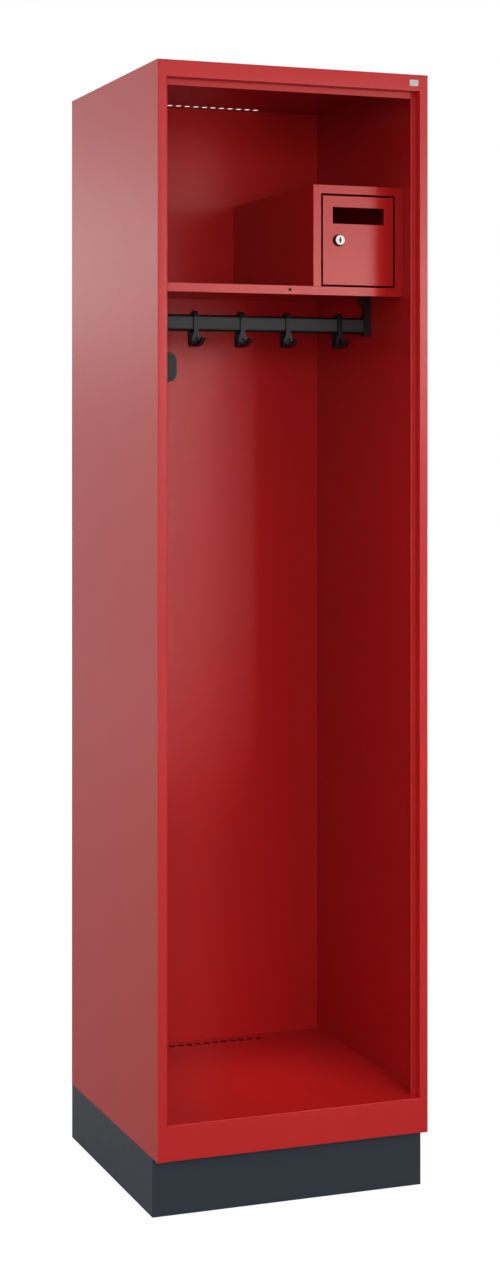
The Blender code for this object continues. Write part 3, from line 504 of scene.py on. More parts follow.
def bar(work, low, high):
    """Adds a filled strip between two corners to a bmesh."""
    middle = 0.5 * (Vector(low) + Vector(high))
    size = [abs(end - start) for start, end in zip(low, high)]
    bmesh.ops.create_cube(work, size=1.0, matrix=Matrix.LocRotScale(middle, None, size))


def run(work, start, end, section):
    """Adds a straight run of one section to a bmesh, closed at both ends."""
    rows = [[work.verts.new(Vector(place) + point) for point in section] for place in (start, end)]
    for number in range(len(section)):
        after = (number + 1) % len(section)
        work.faces.new((rows[0][number], rows[0][after], rows[1][after], rows[1][number]))
    work.faces.new(rows[0])
    work.faces.new(rows[1])


def fillet(work, start, end, first, second):
    """Adds a hollow-faced bead to a bmesh, laid in the corner of two sheets."""
    first = Vector(first) * fillet_size
    second = Vector(second) * fillet_size
    run(work, start, end, (Vector(), first, fillet_hollow * (first + second), second))


def trim(name, work):
    """Puts straight runs of trim into the scene as a piece, with their bends left crisp."""
    bmesh.ops.recalc_face_normals(work, faces=work.faces[:])
    piece = added(name, work)
    piece.data.set_sharp_from_angle(angle=bend_angle)
    return piece


work = bmesh.new()
face = cad_low.y - seam_proud
for hand in (-1, 1):
    near, far = [hand * across for across in corner_span]
    stile_near, stile_far = [hand * across for across in stile_top_span]
    edge = hand * (cad_high.x + seam_proud)
    wall, rear = hand * inside[0], inside[1]
    bar(work, (near, face, upper_corner[0]), (far, corner_rear, upper_corner[1]))
    bar(work, (near, face, lower_corner[0]), (far, corner_rear, lower_corner[1]))
    bar(work, (stile_near, face, stile_top[0]), (stile_far, stile_top_rear, stile_top[1]))
    inner = hand * top_seam_inner
    bar(work, (inner, -top_seam_reach, top_seam[0]), (edge, top_seam_reach, top_seam[1]))
    fillet(work, (wall, frame_rear, inside_low), (wall, rear, inside_low), (-hand, 0, 0), (0, 0, 1))
    fillet(work, (wall, frame_rear, inside_high), (wall, rear, inside_high), (-hand, 0, 0), (0, 0, -1))
    fillet(work, (wall, rear, inside_low), (wall, rear, inside_high), (-hand, 0, 0), (0, -1, 0))
for height, up in ((inside_low, 1), (inside_high, -1)):
    ends = [(hand * inside[0], inside[1], height) for hand in (-1, 1)]
    fillet(work, *ends, (0, -1, 0), (0, 0, up))
fitted(trim("shell_seam_welds", work), "cabinet", "red_coat", red_coat)


# Stop flange folds: the free edge of each side's stop flange is hemmed, folded back on itself into a
# low round bead, and the bend at its foot has an inside radius. Both run the height of the opening.
hem_half = 0.0016
hem_rise = 0.0007
hem_past = 0.0008
hem_steps = 8
bend_radius = 0.0013
stile_inner = 0.2340
stop_inner = 0.2268
stop_front = -0.2300
opening_low = 0.1612
opening_high = 1.9100

work = bmesh.new()
for hand in (-1, 1):
    hem = []
    bend = [Vector()]
    for step in range(hem_steps + 1):
        turn = math.pi * step / hem_steps
        hem.append(Vector((hem_half * math.cos(turn), -hem_rise * math.sin(turn), 0.0)))
        turn = 0.5 * turn
        bend.append(bend_radius * Vector((hand * (math.sin(turn) - 1.0), math.cos(turn) - 1.0, 0.0)))
    hem_x = hand * (stop_inner + hem_half - hem_past)
    for fold_x, section in ((hem_x, hem), (hand * stile_inner, bend)):
        run(work, (fold_x, stop_front, opening_low), (fold_x, stop_front, opening_high), section)
fitted(trim("stop_flange_folds", work), "cabinet", "red_coat", red_coat)


# Vent slots: two rows of punched slots, one along the back of the top and one along the back of
# the floor. The punch leaves a small rolled lip round each slot, which the powder makes softer.
slot_count = 14
slot_pitch = 0.0175
slot_size = (0.0113, 0.0160)
slot_corner = 0.0012
lip_radius = 0.00022
lip_corner_steps = 4
lip_bead_steps = 8
vent_rows = {"top_slot_lips": (0.230, 1.9490), "floor_slot_lips": (0.218, 0.1610)}


def slot_lip_tree():
    """A row of rounded-rectangle lips: one outline swept with a round bead and set out in a line."""
    tree, entry, leave = node_tree(
        "row of slot lips",
        "GeometryNodeTree",
        {
            "Geometry": "Geometry",
            "Count": "Int",
            "First": "Vector",
            "Pitch": "Vector",
            "Width": "Float",
            "Length": "Float",
            "Corner": "Float",
            "Bead": "Float",
            "Finish": "Material",
        },
        {"Geometry": "Geometry"},
    )
    along = {"Count": entry["Count"], "Start Location": entry["First"], "Offset": entry["Pitch"]}
    row = wired(tree, "GeometryNodeMeshLine", along, mode="OFFSET")
    sides = {"Width": entry["Width"], "Height": entry["Length"]}
    outline = wired(tree, "GeometryNodeCurvePrimitiveQuadrilateral", sides, mode="RECTANGLE")
    corners = {"Curve": outline.outputs[0], "Radius": entry["Corner"], "Count": lip_corner_steps}
    corner = wired(tree, "GeometryNodeFilletCurve", corners, mode="POLY")
    rounds = {"Resolution": lip_bead_steps, "Radius": entry["Bead"]}
    bead = wired(tree, "GeometryNodeCurvePrimitiveCircle", rounds)
    sweep = {"Curve": corner.outputs[0], "Profile Curve": bead.outputs[0]}
    swept = wired(tree, "GeometryNodeCurveToMesh", sweep)
    smooth = wired(tree, "GeometryNodeSetShadeSmooth", {0: swept.outputs[0]})
    copies = {"Points": row.outputs["Mesh"], "Instance": smooth.outputs[0]}
    placed = wired(tree, "GeometryNodeInstanceOnPoints", copies)
    made_real(tree, placed.outputs[0], entry["Finish"], leave["Geometry"])
    return tree


slot_lips = slot_lip_tree()
for name, (row_y, row_z) in vent_rows.items():
    lips = grown(
        name,
        slot_lips,
        Count=slot_count,
        First=(-0.5 * (slot_count - 1) * slot_pitch, row_y, row_z),
        Pitch=(slot_pitch, 0.0, 0.0),
        Width=slot_size[0],
        Length=slot_size[1],
        Corner=slot_corner,
        Bead=lip_radius,
        Finish=red_coat,
    )
    fitted(lips, "cabinet", "red_coat", red_coat)


# Spot welds: the electrode marks down the rear flanges, where the back panel is welded to the two
# sides. Each is a shallow round dent with a raised ring, coated over with the rest.
weld_count = 12
weld_pitch = 0.155
weld_radius = 0.0032
weld_first = 0.170
weld_column_x = 0.243
weld_steps = 20


def turned(name, profile, steps=32):
    """Turns a profile of (radius, height) points, from axis to axis, into a closed smooth shape."""
    work = bmesh.new()
    rows = []
    for radius, height in profile:
        count = steps if radius > 0.0 else 1
        turns = [math.tau * step / steps for step in range(count)]
        points = [(radius * math.cos(turn), radius * math.sin(turn), height) for turn in turns]
        rows.append([work.verts.new(point) for point in points])
    for first, second in zip(rows, rows[1:]):
        for number in range(steps):
            after = number + 1
            corners = (
                first[number % len(first)],
                first[after % len(first)],
                second[after % len(second)],
                second[number % len(second)],
            )
            # A point on the axis is a corner once, which leaves a triangle there.
            work.faces.new(list(dict.fromkeys(corners)))
    bmesh.ops.recalc_face_normals(work, faces=work.faces[:])
    return added(name, work)


weld_profile = (
    (0.0, -0.00008),
    (0.45 * weld_radius, -0.00005),
    (0.70 * weld_radius, 0.00010),
    (0.85 * weld_radius, 0.00022),
    (weld_radius, 0.00004),
    (weld_radius, -0.00020),
    (0.0, -0.00020),
)
weld_mark = turned("weld_pattern", weld_profile, weld_steps)
welds = grown(
    "rear_spot_welds",
    set_out,
    Pattern=weld_mark,
    First=(-weld_column_x, cad_high.y, weld_first),
    Count=weld_count,
    Pitch=(0.0, 0.0, weld_pitch),
    Rows=2,
    Row_pitch=(2.0 * weld_column_x, 0.0, 0.0),
    Turn=(math.radians(-90.0), 0.0, 0.0),
    Finish=red_coat,
)
bpy.data.objects.remove(weld_mark)
fitted(welds, "cabinet", "red_coat", red_coat)


# Name plate: a bare little plate of brushed aluminium, pressed with a soft edge and glued to the
# right end of the top rail, where such lockers carry a plate.
name_plate_size = (0.0170, 0.0110)
name_plate_corner = 0.0022
name_plate_thickness = 0.0008
name_plate_rim = 0.0003
name_plate_centre = Vector((0.2228, -0.2500, 1.9353))
name_plate_colour = (0.60, 0.61, 0.62)
name_plate_roughness = 0.45
corner_steps = 6
brush_stretch = (60.0, 3000.0, 6000.0)
brush_shade = 0.88
brush_spread = 0.08


def rounded_plate(name, width, height, corner, thickness):
    """A flat plate in the front plane with rounded corners, its front at -Y."""
    work = bmesh.new()
    outline = []
    for quarter in range(4):
        side_x = 1 if quarter in (0, 3) else -1
        side_z = 1 if quarter in (0, 1) else -1
        middle = Vector((side_x * (0.5 * width - corner), 0.0, side_z * (0.5 * height - corner)))
        for step in range(corner_steps + 1):
            turn = 0.5 * math.pi * (quarter + step / corner_steps)
            outline.append(middle + corner * Vector((math.cos(turn), 0.0, math.sin(turn))))
    base = work.faces.new([work.verts.new(point) for point in outline])
    raised = bmesh.ops.extrude_face_region(work, geom=[base])["geom"]
    front = [part for part in raised if isinstance(part, bmesh.types.BMVert)]
    bmesh.ops.translate(work, verts=front, vec=(0.0, -thickness, 0.0))
    bmesh.ops.recalc_face_normals(work, faces=work.faces[:])
    return added(name, work)


def brushed_finish(name, colour, roughness):
    """Metal brushed along its length: long fine lines in its gloss and a slight change of tone."""
    finish, tree, skin, place = new_finish(name)
    stretch = wired(tree, "ShaderNodeMapping", {"Vector": place, "Scale": brush_stretch})
    feeds = {"Vector": stretch.outputs[0], "Scale": 1.0}
    lines = wired(tree, "ShaderNodeTexNoise", feeds).outputs["Fac"]
    smooth, rough = roughness - brush_spread, roughness + brush_spread
    metal_skin(tree, skin, lines, lines, colour, brush_shade, smooth, rough)
    return finish


name_plate = rounded_plate(
    "bare_name_plate", *name_plate_size, name_plate_corner, name_plate_thickness
)
name_plate.data.transform(Matrix.Translation(name_plate_centre))
edge_rounded(name_plate, name_plate_rim)
brushed_aluminium = brushed_finish("brushed aluminium", name_plate_colour, name_plate_roughness)
fitted(name_plate, "cabinet", "zinc_plate", brushed_aluminium)


# Hat shelf: one folded sheet with a turned-down front lip and side flanges, spot welded to the
# sides. The lip has one small round hole; a near-black nut shape set in it is painted shade, so the
# hole reads dark. Same red coat as the shell.
shelf_sheet = 0.0010
lip_hole_x = 0.0293
lip_hole_drop = 0.0070
rivet_bore = 0.0017
rivet_thread = 0.0002
rivet_pitch = 0.0007
rivet_threads = 7
rivet_body = 0.0022
rivet_bulge = 0.0032
bulge_middle = 0.0018
bulge_end = 0.0026
rivet_flange = 0.00275
rivet_face_share = 0.93
rivet_flange_height = 0.0003
rivet_depth = 0.0074
rivet_crisp = math.radians(35.0)
# Painted shade: the near-black colour of the nut-shaped piece that darkens the lip hole.
hole_shade_colour = (0.010, 0.010, 0.011)
hole_shade_roughness = 0.55

shelf = soft_edged("hat_shelf", "hat_shelf_sheet", sheet_edge)
fitted(shelf, "cabinet", "red_coat", red_coat, "hat_shelf")
rivet_profile = [(0.0, rivet_threads * rivet_pitch + rivet_bore)]
for number in reversed(range(rivet_threads)):
    rivet_profile.append((rivet_bore, (number + 1.0) * rivet_pitch))
    rivet_profile.append((rivet_bore + rivet_thread, (number + 0.5) * rivet_pitch))
rivet_profile += [
    (rivet_bore + rivet_thread, -rivet_flange_height),
    (rivet_face_share * rivet_flange, -rivet_flange_height),
    (rivet_flange, -0.5 * rivet_flange_height),
    (rivet_flange, 0.0),
    (rivet_body, 0.0),
    (rivet_body, shelf_sheet),
    (rivet_bulge, bulge_middle),
    (rivet_body, bulge_end),
    (rivet_body, rivet_depth),
    (0.0, rivet_depth),
]
hole_shade_nut = turned("lip_rivet_nut", rivet_profile)
hole_shade_nut.data.set_sharp_from_angle(angle=rivet_crisp)
shelf_low, shelf_high = [Vector(corner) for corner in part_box("hat_shelf")]
rivet_place = (lip_hole_x, shelf_low.y, shelf_high.z - lip_hole_drop)
lying = Matrix.Rotation(math.radians(-90.0), 4, "X")
hole_shade_nut.data.transform(Matrix.Translation(rivet_place) @ lying)
hole_shade_steel = zinc_finish("black steel", hole_shade_colour, hole_shade_roughness)
fitted(hole_shade_nut, "cabinet", "zinc_plate", hole_shade_steel)


# Valuables box: a folded hood on the right of the shelf, with a flat frame round its doorway,
# welded to the shelf and the right side.
box = soft_edged("valuables_box", "valuables_hood", sheet_edge)
fitted(box, "cabinet", "red_coat", red_coat, "valuables_box")


# Valuables door: a pan of sheet steel with folded edges, a posting slot and a hole for its lock.
# It hangs on two headed steel pins at its right edge.
pin_colour = (0.075, 0.072, 0.072)
pin_roughness = 0.50
pin_edge = 0.0002

door = soft_edged("valuables_door", "valuables_door_pan", sheet_edge)
fitted(door, "valuables_door", "red_coat", red_coat, "valuables_door")
pin_steel = zinc_finish("dull pin steel", pin_colour, pin_roughness)
for end in ("top", "bottom"):
    pin = soft_edged(f"hinge_pin_{end}", f"door_pin_{end}", pin_edge)
    fitted(pin, "valuables_door", "zinc_plate", pin_steel, f"hinge_pin_{end}")


# Cam lock: a black moulded collar and threaded housing with a nickel-plated plug, held from behind
# by a hexagon nut. A black insert in the keyway is painted shade. The plug turns a flat steel cam.
collar_colour = (0.008, 0.008, 0.009)
collar_roughness = 0.38
collar_edge = 0.0006
nickel_colour = (0.84, 0.83, 0.81)
nickel_roughness = 0.40
lock_nut_edge = 0.0004
lock_steel_edge = 0.0003
keyway_size = (0.0015, 0.0051)
keyway_round = 0.0027
keyway_proud = 0.0001
keyway_depth = 0.0030
keyway_chamfer = 0.0004
keyway_steps = 64
least_share = 1e-6


def moulded_finish(name, colour, roughness, grain=0.00003):
    """Moulded plastic: a fine sparked grain from the mould and a little unevenness of gloss."""
    mould = {"clouding": 0.25, "patchiness": 0.10, "ripples_per_metre": 2600.0, "relief": 0.8}
    return powder_coat(name, colour, roughness, ripple=grain, **mould)


black_plastic = moulded_finish("black plastic", collar_colour, collar_roughness)
nickel_plate = brushed_finish("nickel plate", nickel_colour, nickel_roughness)
housing = soft_edged("lock_housing", "lock_collar", collar_edge, steps=3)
fitted(housing, "valuables_door", "black_plastic", black_plastic, "lock_housing")
nut = soft_edged("lock_nut", "lock_hex_nut", lock_nut_edge)
fitted(nut, "valuables_door", "zinc_plate", zinc_plate, "lock_nut")
plug = soft_edged("lock_plug", "lock_barrel", lock_steel_edge, steps=3)
fitted(plug, "lock_core", "bright_metal", nickel_plate, "lock_plug")
# Painted shade: a black piece set in the keyhole, so its hollow reads dark.
keyhole_shade_rings = []
for depth, shrink in ((0.0, keyway_chamfer), (0.5 * keyway_proud, 0.0), (keyway_depth, 0.0)):
    side, end = [size - shrink for size in keyway_size]
    outline = []
    for step in range(keyway_steps):
        turn = math.tau * step / keyway_steps
        to_side = side / max(abs(math.sin(turn)), least_share)
        to_end = end / max(abs(math.cos(turn)), least_share)
        reach = max(keyway_round - shrink, min(to_side, to_end))
        outline.append((reach * math.sin(turn), depth, reach * math.cos(turn)))
    keyhole_shade_rings.append(outline)
keyhole_shade = skinned("lock_keyway", keyhole_shade_rings)
keyhole_shade_place = box_middle("lock_plug")
keyhole_shade_place.y = box_low("lock_plug").y - keyway_proud
keyhole_shade.data.transform(Matrix.Translation(keyhole_shade_place))
fitted(keyhole_shade, "lock_core", "black_plastic", black_plastic)
cam = soft_edged("lock_cam", "lock_cam_plate", lock_steel_edge)
fitted(cam, "lock_core", "zinc_plate", zinc_plate, "lock_cam")
cam_screw = soft_edged("cam_screw", "lock_cam_screw", lock_steel_edge)
fitted(cam_screw, "lock_core", "zinc_plate", zinc_plate, "cam_screw")


# Door gap shade: thin dark red strips, domed and laid on the folds in the gap round the valuables
# door as painted shade, to darken the gap. Two runs are on the door and two on its frame.
shade_strip_width = 0.0085
shade_strip_thickness = 0.0003
shade_strip_setback = 0.0009
shade_strip_end = 0.0010
shade_strip_dome = ((0.0, 0.0), (0.06, 0.75), (0.25, 0.95), (0.75, 0.95), (0.94, 0.75), (1.0, 0.0))
door_gap = 0.0038
pin_room = 0.0080
# Painted shade: the strips' near-black red stands for the shade deep in the door gap.
shade_strip_colour = (0.050, 0.005, 0.005)
shade_strip_roughness = 0.85
shade_strip_grain = 0.00006


def shade_strip_run(work, start, end, out):
    """Adds a run of the dark strip to a bmesh, from its front edge inwards, domed to the side it faces.
    """
    section = []
    for share, rise in shade_strip_dome:
        section.append(Vector((0.0, share * shade_strip_width, 0.0)) + rise * shade_strip_thickness * Vector(out))
    run(work, start, end, section)


gap_shade = moulded_finish("foam tape", shade_strip_colour, shade_strip_roughness, shade_strip_grain)
door_low, door_high = [Vector(corner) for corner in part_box("valuables_door")]
shade_strip_front = door_low.y + shade_strip_setback
low, high = door_low.z + shade_strip_end, door_high.z - shade_strip_end
left, right = door_low.x + shade_strip_end, door_high.x - shade_strip_end - pin_room
above, beside = door_high.z + door_gap, door_high.x + door_gap
work = bmesh.new()
shade_strip_run(work, (door_low.x, shade_strip_front, low), (door_low.x, shade_strip_front, high), (-1, 0, 0))
shade_strip_run(work, (left, shade_strip_front, door_low.z), (right, shade_strip_front, door_low.z), (0, 0, -1))
fitted(trim("door_foam_tape", work), "valuables_door", "black_plastic", gap_shade)
work = bmesh.new()
shade_strip_run(work, (left, shade_strip_front, above), (right, shade_strip_front, above), (0, 0, -1))
shade_strip_run(work, (beside, shade_strip_front, low), (beside, shade_strip_front, high), (-1, 0, 0))
fitted(trim("doorway_foam_tape", work), "cabinet", "black_plastic", gap_shade)


# Coat rail: a flat-sided oval steel tube with a dark satin coat. Its colour fades to near black along
# its top and its bottom: painted shade, for the shelf's shadow and the tube turning from the lamps.
# Its ends are held in two black moulded brackets that hang from the shelf.
rail_colour = (0.036, 0.037, 0.038)
rail_roughness = 0.55
rail_gloss = 1.3
rail_edge = 0.0003
# Painted shade on the rail: its near-black colour, and the heights off the middle where it fades in.
rail_shade_colour = (0.003, 0.003, 0.003)
rail_shade_start = 0.0100
rail_shade_full = 0.0122
bracket_edge = 0.0008

satin = {"clouding": 0.14, "patchiness": 0.08}
rail_coat = powder_coat(
    "dark rail coat", rail_colour, rail_roughness, **satin, ripple=0.00002, gloss=rail_gloss
)
rail_height = box_middle("coat_rail").z
tree = rail_coat.node_tree
base = tree.nodes["Principled BSDF"].inputs["Base Color"]
place = tree.nodes.new("ShaderNodeTexCoord").outputs["Object"]
# Painted shade: the coat fades to near black on the rail's top and bottom, away from its middle height.
height = wired(tree, "ShaderNodeSeparateXYZ", {0: place}).outputs["Z"]
off_middle = worked(tree, "ABSOLUTE", worked(tree, "SUBTRACT", height, rail_height))
rail_shade = ranged(tree, off_middle, rail_shade_start, rail_shade_full, 0.0, 1.0)
tones = {"Factor": rail_shade, "A": base.links[0].from_socket, "B": (*rail_shade_colour, 1.0)}
tone = wired(tree, "ShaderNodeMix", tones, data_type="RGBA")
tree.links.new(tone.outputs["Result"], base)
rail = soft_edged("coat_rail", "coat_rail_tube", rail_edge)
fitted(rail, "cabinet", "dark_rail", rail_coat, "coat_rail")
for side in ("left", "right"):
    bracket = soft_edged(f"rail_bracket_{side}", f"rail_socket_{side}", bracket_edge, steps=3)
    fitted(bracket, "cabinet", "black_plastic", black_plastic, f"rail_bracket_{side}")


# Rail screws: four zinc-plated pan-head screws, with a pressed cross recess and a coarse thread for
# plastic. They go down through the shelf into the brackets, two to each.
screw_head = (0.0040, 0.0020)
screw_dome = ((1.0, 0.0), (1.0, 0.35), (0.93, 0.66), (0.78, 0.86), (0.55, 0.97), (0.25, 1.0))
screw_radius = 0.0020
screw_length = 0.0200
screw_pitch = 0.0016
screw_thread = 0.00045
screw_plain = 0.0008
screw_point = (0.0004, 0.0022)
recess_length = 0.0044
recess_width = 0.0009
recess_depth = 0.0011

screw_rings = [ring(screw_point[0], -screw_length)]
thread_end = screw_point[1] - screw_length
screw_rings += thread(screw_radius, screw_thread, thread_end, -screw_plain, screw_pitch)
screw_rings += [ring(screw_radius, 0.0)]
for share, rise in screw_dome:
    screw_rings.append(ring(share * screw_head[0], rise * screw_head[1]))
screw_pattern = skinned("screw_pattern", screw_rings)
work = bmesh.new()
for length, width in ((recess_length, recess_width), (recess_width, recess_length)):
    low = (-0.5 * length, -0.5 * width, screw_head[1] - recess_depth)
    bar(work, low, (0.5 * length, 0.5 * width, 2.0 * screw_head[1]))
recess = added("recess_pattern", work)
pressing = screw_pattern.modifiers.new("cross recess", "BOOLEAN")
pressing.operation = "DIFFERENCE"
pressing.use_self = True
pressing.object = recess
fixed_mesh(screw_pattern)
first_screw = box_middle("rail_screw_1")
first_screw.z = box_low("rail_screw_1").z + screw_length
screws = grown(
    "rail_pan_screws",
    set_out,
    Pattern=screw_pattern,
    First=first_screw,
    Count=2,
    Pitch=box_middle("rail_screw_2") - box_middle("rail_screw_1"),
    Rows=2,
    Row_pitch=box_middle("rail_screw_3") - box_middle("rail_screw_1"),
    Finish=zinc_plate,
)
fitted(screws, "cabinet", "zinc_plate", zinc_plate, *[f"rail_screw_{number}" for number in range(1, 5)])
bpy.data.objects.remove(recess)
bpy.data.objects.remove(screw_pattern)


# Coat hooks: five black moulded hooks, each a strap round the rail with a low crown on top, a loop
# with a flared web and an eyelet, and a beak of a prong to the front. Inside the loop a rib holds a
# near-black steel strip behind the eyelet: painted shade, so the eyelet reads dark, with a small glint.
hook_colour = (0.006, 0.006, 0.007)
hook_roughness = 0.40
hook_grain = 0.00001
hook_edge = 0.0006
hook_steep = 30.0
rib_size = (0.0090, 0.0050, 0.0200)
rib_place = Vector((0.0, -0.0056, -0.0280))
rib_edge = 0.0005
# Painted shade: the near-black steel strip set behind each hook's eyelet.
eyelet_shade_size = (0.0026, 0.0008, 0.0170)
eyelet_shade_place = Vector((0.0, -0.0083, -0.0275))
eyelet_shade_edge = 0.0003
eyelet_shade_colour = (0.022, 0.022, 0.023)
eyelet_shade_roughness = 0.34


def strip_in_loop(name, hook, middle, size, edge):
    """A little rounded bar at a place measured from the middle of the rail under one hook."""
    work = bmesh.new()
    centre = Vector((box_middle(hook).x, 0.0, rail_height)) + middle
    half = 0.5 * Vector(size)
    bar(work, centre - half, centre + half)
    bmesh.ops.recalc_face_normals(work, faces=work.faces[:])
    return edge_rounded(added(name, work), edge)


hook_plastic = moulded_finish("hook plastic", hook_colour, hook_roughness, hook_grain)
eyelet_shade_steel = zinc_finish("spring steel", eyelet_shade_colour, eyelet_shade_roughness)
for number in range(1, 6):
    node = f"coat_hook_{number}"
    hook = soft_edged(node, f"coat_hook_moulding_{number}", hook_edge, hook_steep, 3)
    fitted(hook, node, "black_plastic", hook_plastic, node)
    rib = strip_in_loop(f"coat_hook_rib_{number}", node, rib_place, rib_size, rib_edge)
    fitted(rib, node, "black_plastic", hook_plastic)
    eyelet_shade = strip_in_loop(f"coat_hook_spring_{number}", node, eyelet_shade_place, eyelet_shade_size, eyelet_shade_edge)
    fitted(eyelet_shade, node, "zinc_plate", eyelet_shade_steel)


# Helmet holder: a dark coated steel plate with rounded corners on the inside of the left wall,
# on two weld studs with hexagon nuts.
holder_colour = (0.0125, 0.0140, 0.0150)
holder_roughness = 0.58
holder_edge = 0.0005
nut_across = 0.0080
nut_height = 0.0040
nut_bore = 0.0026
countersink = (0.0003, 0.0004)

holder_coat = powder_coat("dark plate coat", holder_colour, holder_roughness, **satin)
holder = soft_edged("helmet_holder", "helmet_holder_plate", holder_edge, steps=3)
fitted(holder, "cabinet", "dark_plate", holder_coat, "helmet_holder")
nut_rings = (
    ring(nut_bore, countersink[1]),
    ring(nut_bore + countersink[0], 0.0),
    ring(crown_share * nut_across, 0.0),
    hexagon(nut_across, 0.0, -chamfer),
    hexagon(nut_across, nut_height, chamfer),
    ring(crown_share * nut_across, nut_height),
    ring(nut_bore + countersink[0], nut_height),
    ring(nut_bore, nut_height - countersink[1]),
)
nut_pattern = skinned("nut_pattern", nut_rings, closed=True)


def stud_nuts(name, first, second):
    """Two nuts one above the other on the left wall, in place of two packed ones."""
    place = box_middle(first)
    place.x = box_low(first).x
    nuts = grown(
        name,
        set_out,
        Pattern=nut_pattern,
        First=place,
        Count=2,
        Pitch=box_middle(second) - box_middle(first),
        Rows=1,
        Turn=(0.0, math.radians(90.0), 0.0),
        Finish=zinc_plate,
    )
    return fitted(nuts, "cabinet", "zinc_plate", zinc_plate, first, second)


stud_nuts("holder_hex_nuts", "holder_nut_1", "holder_nut_2")


# Strip hook: a narrow strip of zinc-plated steel under the holder, cut and bent cold into a hook,
# and fixed to the left wall in the same way, on two weld studs.
strip_colour = (0.86, 0.85, 0.83)
strip_roughness = 0.45
strip_edge = 0.0003

strip_plate = zinc_finish("pale zinc plate", strip_colour, strip_roughness)
strip = soft_edged("strip_hook", "strip_hook_bar", strip_edge)
fitted(strip, "cabinet", "zinc_plate", strip_plate, "strip_hook")
stud_nuts("strip_hex_nuts", "strip_nut_1", "strip_nut_2")
bpy.data.objects.remove(nut_pattern)


# Studio: a plain pale floor that runs to the horizon, soft lamps, and white all round.
# The floor and the surroundings are white to the lens; the floor still takes the shadow.
floor_half = 30.0
floor_grey = 0.20
floor_lift_seen = 0.88
floor_lift_near = 0.105
floor_lift_far = 0.375
floor_near = 1.0
floor_far = 7.0
surround_from = 0.10
surround_to = 0.90
surround_low = 0.60
surround_high = 0.88
band_height = 0.0825
band_half = 0.025
band_fade = 0.025
band_light = 0.83
band_front = -0.2
band_back = 0.4
grid_spread = math.radians(8.0)

work = bmesh.new()
bmesh.ops.create_grid(work, x_segments=1, y_segments=1, size=floor_half)
floor = added("studio_floor", work)
floor_paint = bpy.data.materials.new("studio floor")
floor_paint.use_nodes = True
tree = floor_paint.node_tree
tree.nodes.remove(tree.nodes["Principled BSDF"])
matt = wired(tree, "ShaderNodeBsdfDiffuse", {"Color": (floor_grey, floor_grey, floor_grey, 1.0)})
place = tree.nodes.new("ShaderNodeTexCoord").outputs["Object"]
distance = wired(tree, "ShaderNodeVectorMath", {0: place}, operation="LENGTH").outputs["Value"]
mirrored = ranged(tree, distance, 0.0, floor_far, floor_lift_near, floor_lift_far)
whiter = ranged(tree, distance, floor_near, floor_far, floor_lift_seen, 1.0)
path = tree.nodes.new("ShaderNodeLightPath").outputs
seen = worked(tree, "MAXIMUM", path["Is Camera Ray"], path["Is Transmission Ray"])
lift_seen = worked(tree, "MULTIPLY", seen, whiter)
lift = worked(tree, "MULTIPLY_ADD", path["Is Glossy Ray"], mirrored, lift_seen)
glow = wired(tree, "ShaderNodeEmission", {"Strength": lift})
both = wired(tree, "ShaderNodeAddShader", {0: matt.outputs[0], 1: glow.outputs[0]})
tree.links.new(both.outputs[0], tree.nodes["Material Output"].inputs["Surface"])
floor.data.materials.append(floor_paint)

surround = bpy.data.worlds.new("studio surround")
surround.use_nodes = True
tree = surround.node_tree
sky = tree.nodes["Background"].inputs
sky["Color"].default_value = (1.0, 1.0, 1.0, 1.0)
aim = tree.nodes.new("ShaderNodeTexCoord").outputs["Generated"]
aim = wired(tree, "ShaderNodeSeparateXYZ", {0: aim}).outputs
above = ranged(tree, aim["Z"], surround_from, surround_to, surround_low, surround_high)
off_band = worked(tree, "ABSOLUTE", worked(tree, "SUBTRACT", aim["Z"], band_height))
band = ranged(tree, off_band, band_half, band_half + band_fade, band_light, 0.0, "SMOOTHSTEP")
behind = ranged(tree, aim["Y"], band_front, band_back, 0.0, 1.0)
glow = worked(tree, "MULTIPLY_ADD", band, behind, above)
path = tree.nodes.new("ShaderNodeLightPath").outputs
shown = worked(tree, "MAXIMUM", path["Is Camera Ray"], path["Is Transmission Ray"])
level = wired(tree, "ShaderNodeMix", {"Factor": shown, "A": glow, "B": 1.0}, data_type="FLOAT")
tree.links.new(level.outputs["Result"], sky["Strength"])
scene.world = surround


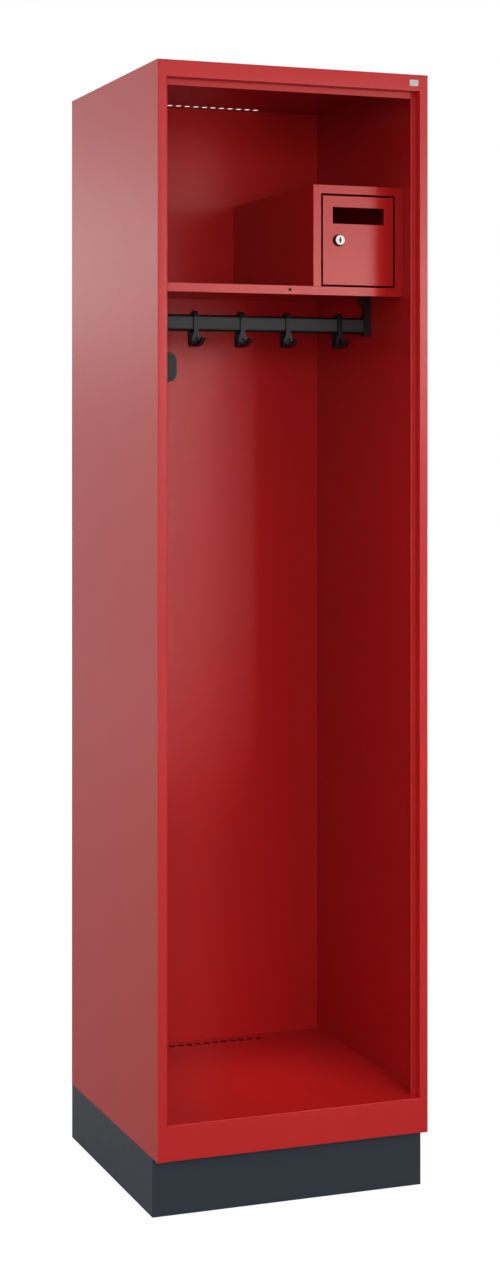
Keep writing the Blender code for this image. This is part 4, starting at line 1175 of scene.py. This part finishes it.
def soft_lamp(name, place, aim, width, height, watts):
    """A rectangular softbox at a place, turned to what it lights."""
    lamp = bpy.data.lights.new(name, "AREA")
    lamp.shape = "RECTANGLE"
    lamp.size = width
    lamp.size_y = height
    lamp.energy = watts
    holder = bpy.data.objects.new(name, lamp)
    holder.location = place
    holder.rotation_euler = (Vector(aim) - Vector(place)).to_track_quat("-Z", "Y").to_euler()
    scene.collection.objects.link(holder)
    return holder


soft_lamp("front right softbox", (2.15, -3.95, 1.83), (0.0, 0.0, 1.5), 1.4, 0.5, 12.4)
for name, place, size, watts in (
    ("right key", (1.20, -4.00, 1.60), 1.6, 47.5),
    ("left key", (-1.20, -4.20, 1.70), 1.6, 63.0),
    ("side fill", (-3.20, 0.90, 1.80), 2.0, 17.5),
    ("left edge fill", (-3.40, -0.75, 1.40), 1.3, 22.0),
):
    lamp = soft_lamp(name, place, (0.0, 0.0, 1.0), size, size, watts)
    lamp.visible_glossy = False
for name, place, aim, width, height, watts in (
    ("gridded strip to the back", (0.90, -3.60, 1.15), (-0.13, 0.245, 1.10), 0.30, 0.80, 0.36),
    ("gridded strip to the right", (-1.30, -3.40, 1.00), (0.249, -0.15, 0.90), 0.16, 1.20, 0.100),
    ("gridded strip to the floor", (0.0, -1.55, 3.60), (0.02, -0.05, 0.161), 0.36, 0.25, 0.205),
):
    lamp = soft_lamp(name, place, aim, width, height, watts)
    lamp.data.spread = grid_spread
    lamp.visible_glossy = False


# Camera: level, to the left of the middle and a little above half height, with the lens shifted
# to bring the locker into the upright frame.
camera_place = (-1.4649, -3.7956, 1.3011)
camera_turn = math.radians(-20.198)
lens_length = 63.16
lens_shift = (0.03295, -0.1505)
film_width = 36.0
sight_distance = 100.0

lens = bpy.data.cameras.new("camera")
lens.sensor_width = film_width
lens.sensor_fit = "AUTO"
lens.lens = lens_length
lens.shift_x, lens.shift_y = lens_shift
lens.clip_end = sight_distance
camera = bpy.data.objects.new("camera", lens)
camera.location = camera_place
camera.rotation_euler = (math.radians(90.0), 0.0, camera_turn)
scene.collection.objects.link(camera)
scene.camera = camera
scene.view_settings.view_transform = "Standard"
